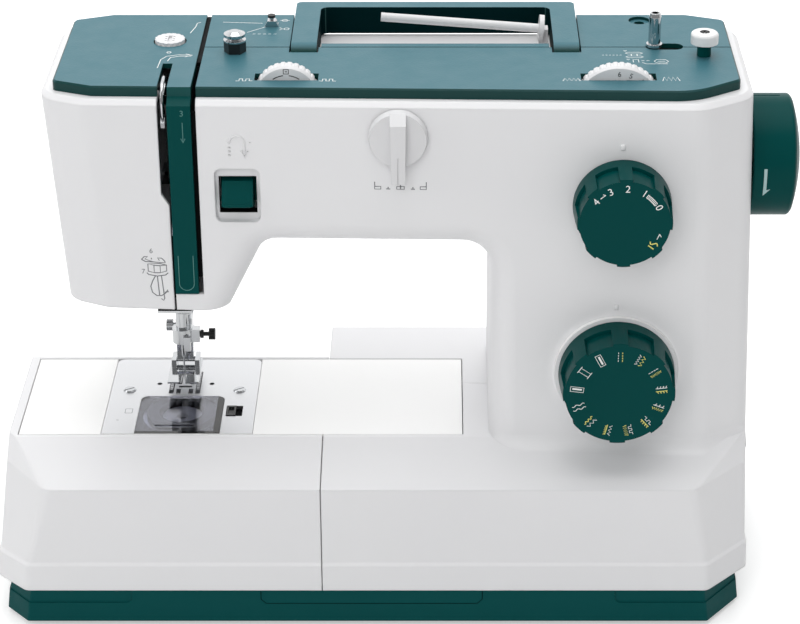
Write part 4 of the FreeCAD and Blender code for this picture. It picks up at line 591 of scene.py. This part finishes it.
# Lamps: name, place, aim and size in metres, power in watts, and whether reflections show them.
SOFT_BOXES = (
    ("softbox_front", (-0.4, -1.7, 1.3), (0.0, 0.0, 0.15), 1.2, 12.2, False),
    ("softbox_left", (-1.7, -0.4, 1.0), (0.0, 0.0, 0.15), 1.0, 4, True),
    ("softbox_top", (0.1, 0.1, 2.0), (0.0, 0.0, 0.1), 1.6, 20, True),
    ("softbox_rear", (-0.1, 1.5, 1.3), (0.0, 0.0, 0.09), 1.5, 16, False),
)
for name, spot, aim, size, power, mirrored in SOFT_BOXES:
    bpy.ops.object.light_add(type="AREA", location=spot)
    lamp = bpy.context.object
    lamp.name = name
    lamp.data.size = size
    lamp.data.energy = power
    lamp.visible_glossy = mirrored
    lamp.rotation_euler = (Vector(aim) - Vector(spot)).to_track_quat("-Z", "Y").to_euler()


# Markings and small fittings, in millimetres on the face that carries them


def seat(node, start, way):
    """Where a straight line from start meets a CAD node, with the outward normal there."""
    hit, spot, normal, _ = frame["nodes"][node].ray_cast(Vector(start) * MM, Vector(way))
    if not hit:
        raise ValueError("no surface of " + node + " at " + str(start))
    return spot, normal


def front_seat(node, x, z):
    """Seat on a node's front."""
    return seat(node, (x, -300, z), (0, 1, 0))


def top_seat(node, x, y):
    """Seat on a node's top."""
    return seat(node, (x, y, 400), (0, 0, -1))


def lay(piece, spot, normal, turn=0.0, right=Vector((1, 0, 0))):
    """Lay a piece drawn in its own XY plane on a face, turned about the face's normal."""
    right = (right - normal * right.dot(normal)).normalized()
    axes = Matrix((right, normal.cross(right), normal)).transposed().to_4x4()
    piece.matrix_world = Matrix.Translation(spot) @ axes @ Matrix.Rotation(turn, 4, "Z")
    bpy.ops.object.select_all(action="DESELECT")
    piece.select_set(True)
    bpy.context.view_layer.objects.active = piece
    bpy.ops.object.transform_apply(location=True, rotation=True, scale=True)


def fit(piece, name, finish, body):
    """Name a finished piece, give it its finish and fix it to the body that carries it."""
    piece.name = name
    piece.data.name = name
    piece.data.materials.clear()
    piece.data.materials.append(finish)
    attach(piece, body)
    return piece


def curve_mesh(curve):
    """Make a curve an object of its own and turn it into a mesh."""
    bpy.ops.object.select_all(action="DESELECT")
    piece = bpy.data.objects.new(curve.name, curve)
    scene.collection.objects.link(piece)
    piece.select_set(True)
    bpy.context.view_layer.objects.active = piece
    bpy.ops.object.convert(target="MESH")
    return bpy.context.object


def add_line(curve, points, closed):
    """Add a straight-sided line through flat points to a curve."""
    line = curve.splines.new("POLY")
    line.points.add(len(points) - 1)
    line.use_cyclic_u = closed
    for knot, (x, y) in zip(line.points, points):
        knot.co = (x * MM, y * MM, 0, 1)


def draw(strokes, width, film=0.3):
    """Round strokes through flat points, pressed down to a film of ink; a film of 1 is wire."""
    curve = bpy.data.curves.new("line_work", "CURVE")
    curve.dimensions = "3D"
    curve.bevel_depth = width / 2 * MM
    curve.bevel_resolution = 1
    curve.use_fill_caps = True
    for points in strokes:
        closed = len(points) > 2 and points[0] == points[-1]
        add_line(curve, points[:-1] if closed else points, closed)
    piece = curve_mesh(curve)
    bpy.ops.object.mode_set(mode="EDIT")
    bpy.ops.mesh.select_all(action="SELECT")
    bpy.ops.transform.resize(value=(1, 1, film), center_override=(0, 0, 0))
    bpy.ops.mesh.normals_make_consistent(inside=False)
    bpy.ops.object.mode_set(mode="OBJECT")
    return piece


def print_on(face, strokes, width, name, finish, body, film=0.3):
    """Draw lines, lay them on a face, given by a spot and its normal, and fit them."""
    signs = draw(strokes, width, film)
    lay(signs, *face)
    return fit(signs, name, finish, body)


def numeral(text, size, height=0.06):
    """One printed numeral as a thin slab, centred on its own origin."""
    bpy.ops.object.select_all(action="DESELECT")
    bpy.ops.object.text_add()
    piece = bpy.context.object
    piece.data.body = text
    piece.data.size = size * MM
    piece.data.align_x = "CENTER"
    piece.data.align_y = "CENTER"
    piece.data.extrude = height * MM
    bpy.ops.object.convert(target="MESH")
    return bpy.context.object


def joined(pieces):
    """One piece out of several."""
    bpy.ops.object.select_all(action="DESELECT")
    for piece in pieces:
        piece.select_set(True)
    bpy.context.view_layer.objects.active = pieces[0]
    bpy.ops.object.join()
    return bpy.context.object


def numeral_ring(bearings, size, ring, hub, outward):
    """Numerals round a hub at bearings in degrees clockwise from the top, feet to the hub."""
    numerals = []
    for text, bearing in bearings:
        turn = math.radians(bearing)
        sign = numeral(text, size)
        at = Vector((ring * math.sin(turn), 0, ring * math.cos(turn)))
        lay(sign, hub + at * MM, outward, -turn)
        numerals.append(sign)
    return joined(numerals)


def soft_block(size, soft):
    """A block about the origin with rounded edges; its size and rounding in mm."""
    bpy.ops.object.select_all(action="DESELECT")
    bpy.ops.mesh.primitive_cube_add(size=1, scale=[side * MM for side in size])
    piece = bpy.context.object
    bpy.ops.object.transform_apply(location=True, rotation=True, scale=True)
    bpy.ops.object.mode_set(mode="EDIT")
    bpy.ops.mesh.select_all(action="SELECT")
    bpy.ops.mesh.bevel(offset=soft * MM, segments=3, affect="EDGES")
    bpy.ops.object.mode_set(mode="OBJECT")
    bpy.ops.object.shade_smooth_by_angle(angle=math.radians(40))
    return piece


def slab(name, size, spot, soft, finish, body="machine"):
    """A flat fitting with softened edges, by the middle of its underside."""
    piece = soft_block(size, soft)
    piece.location = Vector((spot[0], spot[1], spot[2] + size[2] / 2)) * MM
    bpy.ops.object.transform_apply(location=True, rotation=True, scale=True)
    return fit(piece, name, finish, body)


# Strokes of the signs: stitches run upright, centred on the origin or on the line x = at


def turned(points, angle, centre):
    """Points in (across, outward) turned clockwise from the top and moved to their centre."""
    c, s = math.cos(angle), math.sin(angle)
    return [(centre[0] + a * c + b * s, centre[1] - a * s + b * c) for a, b in points]


def arc(radius, start, end, count, centre=(0, 0)):
    """Points along an arc, angles in degrees clockwise from the top."""
    steps = [math.radians(start + (end - start) * i / count) for i in range(count + 1)]
    return [(centre[0] + radius * math.sin(a), centre[1] + radius * math.cos(a)) for a in steps]


def zigzag(count, swing, length, at=0.0):
    """A zigzag stitch."""
    steps = [-length / 2 + length * i / count for i in range(count + 1)]
    return [[(at + (swing if i % 2 else -swing), y) for i, y in enumerate(steps)]]


def dashes(count, length, at=0.0, part=0.55):
    """A straight stitch."""
    step = length / count
    starts = [-length / 2 + step * i for i in range(count)]
    return [[(at, y), (at, y + step * part)] for y in starts]


def comb(count, reach, length, at=0.0):
    """A spine with slanting teeth."""
    spine = [[(at, -length / 2), (at, length / 2)]]
    teeth = [-length / 2 + length * (i + 0.5) / count for i in range(count)]
    return spine + [[(at, y), (at + reach, y + 0.5)] for y in teeth]


def square_wave(count, swing, length, at=0.0):
    """A wave of square steps."""
    points = []
    for i in range(count):
        x = at + (swing if i % 2 else -swing)
        points += [(x, -length / 2 + length * end / count) for end in (i, i + 1)]
    return [points]


def wave(count, swing, length, at=0.0):
    """A round wave."""
    steps = 8 * count
    return [
        [
            (at + swing * math.sin(math.pi * i / 4), -length / 2 + length * i / steps)
            for i in range(steps + 1)
        ]
    ]


def frame_of(half, length):
    """The outline of a buttonhole."""
    low, high = -length / 2, length / 2
    return [[(-half, low), (half, low), (half, high), (-half, high), (-half, low)]]


# Pattern dial: thirteen stitch signs round the face, each a white and a yellow row.
LENGTH_DIAL = middle_of("length_dial")
DIAL_X = LENGTH_DIAL[0]
SIGN_LENGTH = 5.6
TALL_SIGN = SIGN_LENGTH + 0.8
SIGN_RING = 20.6
BUTTONHOLE_BARS = [[(-2.0, 2.9), (2.0, 2.9)], [(-2.0, -2.9), (2.0, -2.9)]]
STITCH_SIGNS = (
    (dashes(4, SIGN_LENGTH, -1.0), dashes(4, SIGN_LENGTH, 1.0)),
    (zigzag(8, 0.6, SIGN_LENGTH, -1.1), zigzag(6, 0.8, SIGN_LENGTH, 1.1)),
    (dashes(4, SIGN_LENGTH, -1.2, 0.7), zigzag(16, 0.6, SIGN_LENGTH, 0.9)),
    (comb(4, -1.1, SIGN_LENGTH, -0.7), comb(4, 1.1, SIGN_LENGTH, 0.9)),
    (comb(3, -1.2, SIGN_LENGTH, -0.5), zigzag(10, 0.6, SIGN_LENGTH, 1.2)),
    (square_wave(4, 0.6, SIGN_LENGTH, -1.0), comb(4, 1.1, SIGN_LENGTH, 0.9)),
    (square_wave(5, 0.7, SIGN_LENGTH, -1.2), zigzag(12, 0.9, SIGN_LENGTH, 1.2)),
    (zigzag(6, 0.7, SIGN_LENGTH, -1.0), comb(5, 1.0, SIGN_LENGTH, 0.8)),
    (zigzag(5, 0.7, SIGN_LENGTH, -1.1), wave(3, 0.5, SIGN_LENGTH, 1.2)),
    (wave(2, 0.4, TALL_SIGN, -1.0) + wave(2, 0.4, TALL_SIGN, 1.2), ()),
    (frame_of(1.3, TALL_SIGN) + [[(0.2, -2.4), (0.2, 2.4)]] * 2, ()),
    (frame_of(1.1, SIGN_LENGTH) + BUTTONHOLE_BARS, ()),
    (frame_of(1.4, SIGN_LENGTH + 0.6) + [[(0.1, -2.3), (0.1, 2.3)]] * 2, ()),
)


def on_sign_ring(place, rows):
    """Rows of a stitch sign, moved to its place among the thirteen."""
    bearing = 2 * math.pi * place / len(STITCH_SIGNS)
    middle = (SIGN_RING * math.sin(bearing), SIGN_RING * math.cos(bearing))
    return [turned(row, bearing, middle) for row in rows]


white_rows, yellow_rows = [], []
for place, (white_sign, yellow_sign) in enumerate(STITCH_SIGNS):
    white_rows += on_sign_ring(place, white_sign)
    yellow_rows += on_sign_ring(place, yellow_sign)
# Two of the buttonholes are filled by a broad flat bar.
FILLED = (10, 12)
bars = sum([on_sign_ring(place, [[(0.15, -2.3), (0.15, 2.3)]]) for place in FILLED], [])
face = front_seat("pattern_dial", DIAL_X, PATTERN_DIAL[2])
for name, rows, width, finish, film in (
    ("pattern_signs_white", white_rows, 0.36, white_ink, 0.3),
    ("pattern_signs_yellow", yellow_rows, 0.42, yellow_ink, 0.3),
    ("pattern_signs_bars", bars, 1.0, white_ink, 0.12),
):
    print_on(face, rows, width, name, finish, "pattern_control", film)

# Length dial: numerals 0 to 4 that stand on the rim, a ladder for the fine lengths and two arrows.
NUMERAL_RING = 17.6
LENGTH_NUMERALS = (("4", -51), ("3", -24), ("2", 2.5), ("1", 29.5), ("0", 62))
face = front_seat("length_dial", DIAL_X, LENGTH_DIAL[2])
numerals = numeral_ring(LENGTH_NUMERALS, 5.0, NUMERAL_RING, *face)
fit(numerals, "length_numerals", white_ink, "length_control")
LADDER_START, LADDER_END, LADDER_LOW, LADDER_HIGH = 35.5, 55.5, 16.4, 18.3
ladder = []
for step in range(9):
    bearing = math.radians(LADDER_START + 2.5 * step)
    ends = (LADDER_LOW, LADDER_HIGH - 0.11 * step)
    ladder.append([(r * math.sin(bearing), r * math.cos(bearing)) for r in ends])
ladder += [arc(r, LADDER_START, LADDER_END, 8) for r in (LADDER_LOW, LADDER_HIGH - 0.3)]
# Each arrow is an arc with half a head at one of its ends.
for ring, start, end, tip, half_head in (
    (17.4, -43, -33, -33, (-0.9, 1.0)),
    (17.2, 108, 118, 108, (1.2, 1.3)),
):
    ladder.append(arc(ring, start, end, 5))
    ladder.append(turned([(0, 0), half_head], math.radians(tip), arc(ring, tip, tip, 1)[0]))
print_on(face, ladder, 0.42, "length_ladder", white_ink, "length_control")
STRETCH_BEARING, STRETCH_RING = 127, 17.3
middle = arc(STRETCH_RING, STRETCH_BEARING, STRETCH_BEARING, 1)[0]
stretch = wave(1, 1.0, 4.2) + [[(2.2, -1.6), (2.2, 1.6)]]
curl = [turned(row, math.radians(STRETCH_BEARING), middle) for row in stretch]
print_on(face, curl, 0.6, "length_stretch_sign", yellow_ink, "length_control")

# Needle position signs under the pointer: a row of small feet, from left to right.
feet = []
for side in (-1, 1):
    outer, inner, left, right = side * 12.3, side * 9.4, side * 6.9, side * 4.9
    feet.append([(outer, 2.4), (outer, -1.4), (inner, -1.4), (inner, 0.0), (outer, 0.0)])
    feet.append([(left, -1.3), (right, -1.3)])
    feet.append([(side * 5.9, -1.3), (side * 5.9, -0.2)])
feet.append([(-1.8, -1.4), (1.8, -1.4), (1.8, 0.0), (-1.8, 0.0), (-1.8, -1.4)])
feet.append([(0, -1.4), (0, 0.8)])
face = front_seat("front_cover", 4.0, 227.4)
print_on(face, feet, 0.5, "needle_position_signs", grey_ink, "machine")

# Reverse sign above its lever: a raised arrow that turns back, dotted on its rear leg.
BOW = 3.6
turn_back = [arc(BOW, -90, 90, 14, (0, 1.6)) + [(BOW, -2.4)]]
turn_back.append([(2.1, -2.6), (5.1, -2.6), (BOW, -5.4), (2.1, -2.6)])
turn_back += [[(-BOW, y), (-BOW, y - 0.7)] for y in (-0.2, -2.2, -4.2)]
turn_back.append([(6.4, 2.3), (6.4, 2.1)])
face = front_seat("front_cover", -73.4, 247.4)
print_on(face, turn_back, 1.3, "reverse_sign", white_abs, "machine", 1.1)

# Thread path on the face cover: the take-up course past the lever with numerals 6 and 7.
course = [
    [(-5.3, 8.5), (-4.0, 9.9), (-2.2, 10.2), (-3.6, 8.7), (0.4, 7.2)]
    + [(6.2, 6.8), (6.0, 7.6), (4.6, 9.2), (2.6, 9.4), (3.4, 8.0)],
    [(-5.3, 8.5), (-3.4, 7.4), (0.4, 7.2)],
    [(-0.4, 9.4), (-0.4, 8.6)],
    [(-2.3, 6.2), (-2.3, 2.2), (0.6, 1.4), (0.6, 5.4), (-2.3, 6.2)]
    + [(3.4, 6.4), (6.7, 5.6), (6.7, 2.4), (3.6, 1.4), (3.6, 5.2), (6.7, 5.6)],
    [(0.6, 5.4), (3.6, 5.2)],
    [(0.6, 1.4), (3.6, 1.4)],
    [(-3.0, 1.4), (-2.2, 0.4), (2.0, -0.4), (6.0, 0.2), (7.4, 1.4)],
    [(1.0, -0.4), (-0.4, -3.0), (-1.5, -6.0), (-0.8, -9.2)]
    + [(1.2, -11.0), (3.6, -11.0), (5.6, -9.6), (6.8, -7.8)],
    [(2.0, -0.4), (2.6, -10.8)],
    [(4.0, -0.2), (5.0, -12.4), (4.4, -13.6), (3.4, -12.6)],
    [(5.2, -9.2), (7.2, -8.8)],
]
signs = draw(course, 0.52)
lay(signs, *front_seat("face_cover", -116.5, 179))
marks = [signs]
for text, x, z in (("6", -116.9, 192.0), ("7", -121.2, 181.0)):
    sign = numeral(text, 3.6)
    lay(sign, *front_seat("face_cover", x, z))
    marks.append(sign)
fit(joined(marks), "thread_path_sign", grey_ink, "machine")


def lid_print(name, strokes, width, node, x, y):
    """White lines printed on a lid; strokes are in the machine's own X and Y."""
    moved = [[(px - x, py - y) for px, py in points] for points in strokes]
    face = top_seat(node, x, y)
    return print_on(face, moved, width, name, white_ink, "machine")


def along(strokes, x, y):
    """Strokes drawn upright, laid along X from their middle."""
    return [[(x + b, y + a) for a, b in points] for points in strokes]


# Lids: tension signs, stitch width signs, winder signs and the upper thread path.
dial_signs = []
for x, y in ((-69.9, -35.4), (-30.4, -35.6)):
    dial_signs += along(square_wave(5, 1.3, 8.0), x, y)
for swing, x, y in ((1.7, 85.1, -35.0), (2.4, 132.3, -34.2)):
    dial_signs += along(zigzag(8, swing, 8.2), x, y)
lid_print("dial_signs", dial_signs, 0.5, "front_top_cover", 40, -37)
flange = [(112.8, 0), (114.0, 1.2), (120.0, 1.2), (121.2, 0), (120.0, -1.1), (114.0, -1.1)]
flange.append(flange[0])
winder_signs = [[(x, middle + y) for x, y in flange] for middle in (-0.4, -5.4)]
winder_signs += [
    [(115.6, -1.5), (115.6, -4.2)],
    [(118.4, -1.5), (118.4, -4.2)],
    [(112.2, 3.0), (113.6, 3.0), (112.9, 1.8), (112.2, 3.0)],
    [(113.0, -8.4), (114.4, -8.4), (113.7, -9.6), (113.0, -8.4)],
    [(116.0, -12.6), (116.0, -9.0), (118.6, -9.0), (118.6, -12.6)],
    [(120.0, -10.4), (121.4, -10.4)],
    [(122.4, -10.4), (123.8, -10.4)],
    [(126.0, -11.2), (127.4, -9.0), (131.6, -9.0), (133.0, -11.2)]
    + [(131.6, -13.4), (127.4, -13.4), (126.0, -11.2)],
    [(127.6, -11.2), (131.4, -11.2)],
    [(132.4, -14.6), (122.0, -14.6), (120.2, -12.8)],
]
winder_signs += [[(101.4 + 1.7 * i, -3.0), (102.3 + 1.7 * i, -3.0)] for i in range(6)]
lid_print("winder_signs", winder_signs, 0.42, "front_top_cover", 96, -10)
upper_path = [
    [(-112.6, -20.0), (-112.0, -9.0), (-109.6, -4.6), (-104.0, -2.6), (-97.4, -3.0)],
    [(-108.6, -11.0), (-107.6, -6.4), (-103.4, -4.4), (-97.8, -4.4)],
    [(-100.6, -1.4), (-97.2, -3.4), (-100.6, -5.4)],
    arc(1.0, 0, 360, 10, (-109.0, 0.6)),
    [(-97.0, 42.5), (-98.6, 41.0), (-99.0, 36.0), (-100.2, 30.5), (-101.0, 27.0)],
]
lid_print("upper_path_signs", upper_path, 0.5, "face_top_cover", -110, 0)
rear_path = [[(-86.0, 42.5), (-66.0, 41.0)], [(-73.0, 28.0), (-62.5, 37.2)]]
rear_path += [[(-70.0 + 2.6 * i, 25.8), (-68.6 + 2.6 * i, 25.9)] for i in range(5)]
rear_path += [arc(1.4, 0, 360, 10, (-55.0, 45.0)), [(-57.4, 45.0), (-52.6, 45.0)]]
rear_path += [[(-57.0, 34.6), (-55.6, 33.0), (-57.0, 31.4)], arc(1.3, 0, 360, 10, (-53.6, 33.0))]
lid_print("rear_path_signs", rear_path, 0.42, "rear_top_cover_left", -75, 36)

# Thumb wheel faces: a dark scale arc with a framed middle on the tension wheel, and numerals
# on the width wheel.
low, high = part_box("tension_dial")
wheel_x, _, wheel_z = middle_of("tension_dial")
scale_ring = (high.z - low.z) / 2 / MM - 4.3
face = front_seat("tension_dial", wheel_x, high.z / MM - 3.2)
hub = (0, wheel_z - face[0].z / MM)
scale = [arc(scale_ring, -34, -7, 8, hub), arc(scale_ring, 7, 34, 8, hub)]
scale.append([(-1.2, -0.3), (1.2, -0.3), (1.2, 1.9), (-1.2, 1.9), (-1.2, -0.3)])
scale.append([(-0.5, 0.8), (0.5, 0.8)])
print_on(face, scale, 0.5, "tension_scale", dark_ink, "tension_control")
low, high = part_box("width_dial")
wheel_x, _, wheel_z = middle_of("width_dial")
ring = (high.z - low.z) / 2 / MM - 3.8
spot, outward = front_seat("width_dial", wheel_x, wheel_z + ring)
WIDTH_NUMERALS = [(text, 18 * (6 - place) + 0.5) for place, text in enumerate("0123456")]
hub = spot - Vector((0, 0, ring)) * MM
numerals = numeral_ring(WIDTH_NUMERALS, 3.6, ring, hub, outward)
fit(numerals, "width_numerals", dark_ink, "width_control")

# Pressure dial: a short scale on each side of its coin slot.
scale = [[(x - 0.5, y), (x + 0.5, y)] for x in (-1.0, -4.8) for y in (-2.6, 0.0, 2.6)]
face = top_seat("pressure_dial", -107.0, 16.0)
print_on(face, scale, 0.45, "pressure_scale", dark_ink, "pressure_control")

# Thread path on the green divider: numeral 3 with an arrow down, and the turn at the foot;
# embossed marks drawn in a paler green as painted highlight.
arrow = draw([[(0, 10.5), (0, 0.5)], [(-1.0, 2.4), (0, 0.2), (1.0, 2.4)]], 0.4)
lay(arrow, *front_seat("thread_guide_plate", -98.6, 249))
three = numeral("3", 4.2)
lay(three, *front_seat("thread_guide_plate", -98.8, 264))
BEND = 3.6
bend = draw([[(-BEND, 6)] + arc(BEND, 270, 90, 14, (0, -9)) + [(BEND, 6)]], 0.4)
lay(bend, *front_seat("thread_guide_plate", -100.2, 184))
fit(joined([arrow, three, bend]), "divider_signs", sage_painted_highlight, "machine")

# Index tabs above the two dials: small raised pips.
for name, x, z in (("length_index", 109.1, 248.6), ("pattern_index", 108.5, 164.3)):
    pip = soft_block((2.2, 3.0, 1.6), 0.5)
    lay(pip, *front_seat("front_cover", x, z))
    fit(pip, name, white_abs, "machine")

# Reverse lever: the rounded lip that the finger presses.
slab(
    "reverse_lip",
    (13.8, 1.8, 1.7),
    (LEVER[0], LEVER_NOSE + 0.6, LEVER[2] - 4.4),
    0.7,
    dial_abs,
    "reverse_control",
)

# Lower thread guide under the face cover: a black bar, whose black is painted shade of the gap
# there, a bright plate below it and a wire hook.
NEEDLE_X = middle_of("needle")[0]
GUIDE_X, GUIDE_Y = NEEDLE_X + 2.6, -42.6
UNDERSIDE = seat("face_cover", (GUIDE_X - 3, GUIDE_Y, 120), (0, 0, 1))[0].z / MM
bar_spot = (GUIDE_X, GUIDE_Y, UNDERSIDE - 2.4)
slab("lower_guide_bar", (16.4, 9.0, 2.9), bar_spot, 0.4, liner_black_and_painted_shade)
plate_spot = (GUIDE_X, GUIDE_Y, UNDERSIDE - 3.7)
slab("lower_guide_plate", (16.9, 8.6, 1.4), plate_spot, 0.3, chrome)
guide_wire = [[(-1.0, 2.0), (-0.4, -1.6), (1.4, -3.6), (6.6, -3.8), (8.4, -2.4), (8.6, 2.0)]]
face = (Vector((GUIDE_X, GUIDE_Y, UNDERSIDE - 4.0)) * MM, Vector((0, 0, 1)))
print_on(face, guide_wire, 0.9, "lower_guide_wire", chrome, "machine", 1.0)

# Take-up lever: the bent thread hook at its tip, which shows in the slot of the lid.
hook_wire = [
    [(-45.0, 257.5), (-47.4, 262.0), (-48.0, 267.5), (-46.4, 272.4), (-42.0, 275.2)]
    + [(-34.0, 275.8), (-29.2, 273.8), (-30.6, 270.6), (-37.0, 269.4), (-42.6, 269.6)]
    + [(-43.6, 265.4), (-39.0, 257.0)]
]
wire = draw(hook_wire, 1.7, 1.0)
wire_spot = Vector((NEEDLE_X + 1.7, 0, 0)) * MM
lay(wire, wire_spot, Vector((1, 0, 0)), right=Vector((0, 1, 0)))
fit(wire, "take_up_hook", chrome, "take_up")

# Needle plate: a small engraved square and a short tick beside the hook cover, drawn as grey lines
# of painted shade in their grooves.
plate_marks = [
    [(-2.0, -2.2), (1.6, -2.2), (1.6, 2.2), (-2.0, 2.2), (-2.0, -2.2)],
    [(-5.6, -9.4), (-4.4, -9.4)],
]
face = top_seat("needle_plate", NEEDLE_X - 26.4, -22.0)
print_on(face, plate_marks, 0.36, "plate_marks", grey_ink, "machine")

# Base tray: the outline of the middle panel, a fine dark line of painted shade for a groove.
TRAY_Z = 12.0
PANEL_LEFT, PANEL_RIGHT, PANEL_LOW, PANEL_TOP = -67.0, 44.0, 13.6, 21.6
CORNER = 2.5
panel = [
    (PANEL_LEFT, PANEL_TOP),
    (PANEL_LEFT, PANEL_LOW + CORNER),
    (PANEL_LEFT + CORNER, PANEL_LOW),
    (PANEL_RIGHT - CORNER, PANEL_LOW),
    (PANEL_RIGHT, PANEL_LOW + CORNER),
    (PANEL_RIGHT, PANEL_TOP),
]
groove = [[(x, z - TRAY_Z) for x, z in panel]]
face = front_seat("base_tray", 0, TRAY_Z)
print_on(face, groove, 0.45, "tray_panel_line", painted_shade_green, "machine")

# Handwheel: turning arrow inlaid on the front of its rim, laid on the curve of the wheel.
low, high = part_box("handwheel")
_, hub_y, hub_z = middle_of("handwheel")
rim = (high.z - low.z) / 2 / MM
arrow = [(-0.75, 10.5), (0.75, 10.5), (0.75, -1.8), (2.6, -1.2), (-0.75, -5.6)]
outline = bpy.data.curves.new("turn_arrow", "CURVE")
outline.dimensions = "2D"
outline.fill_mode = "BOTH"
add_line(outline, arrow, True)
piece = curve_mesh(outline)
bpy.ops.object.mode_set(mode="EDIT")
bpy.ops.mesh.select_all(action="SELECT")
bpy.ops.mesh.quads_convert_to_tris()
bpy.ops.mesh.subdivide(number_cuts=5)
bpy.ops.object.mode_set(mode="OBJECT")
arrow_spot = Vector((low.x / MM + 5.9, hub_y - rim - 2, hub_z - 5.4)) * MM
lay(piece, arrow_spot, Vector((0, -1, 0)))
wrap = piece.modifiers.new("on_rim", "SHRINKWRAP")
wrap.target = frame["nodes"]["handwheel"]
wrap.wrap_method = "NEAREST_SURFACEPOINT"
wrap.wrap_mode = "ABOVE_SURFACE"
wrap.offset = 0.08 * MM
bpy.ops.object.modifier_apply(modifier=wrap.name)
thick = piece.modifiers.new("film", "SOLIDIFY")
thick.thickness = 0.3 * MM
thick.offset = 0
bpy.ops.object.modifier_apply(modifier=thick.name)
fit(piece, "turn_arrow", teal_ink, "upper_shaft")
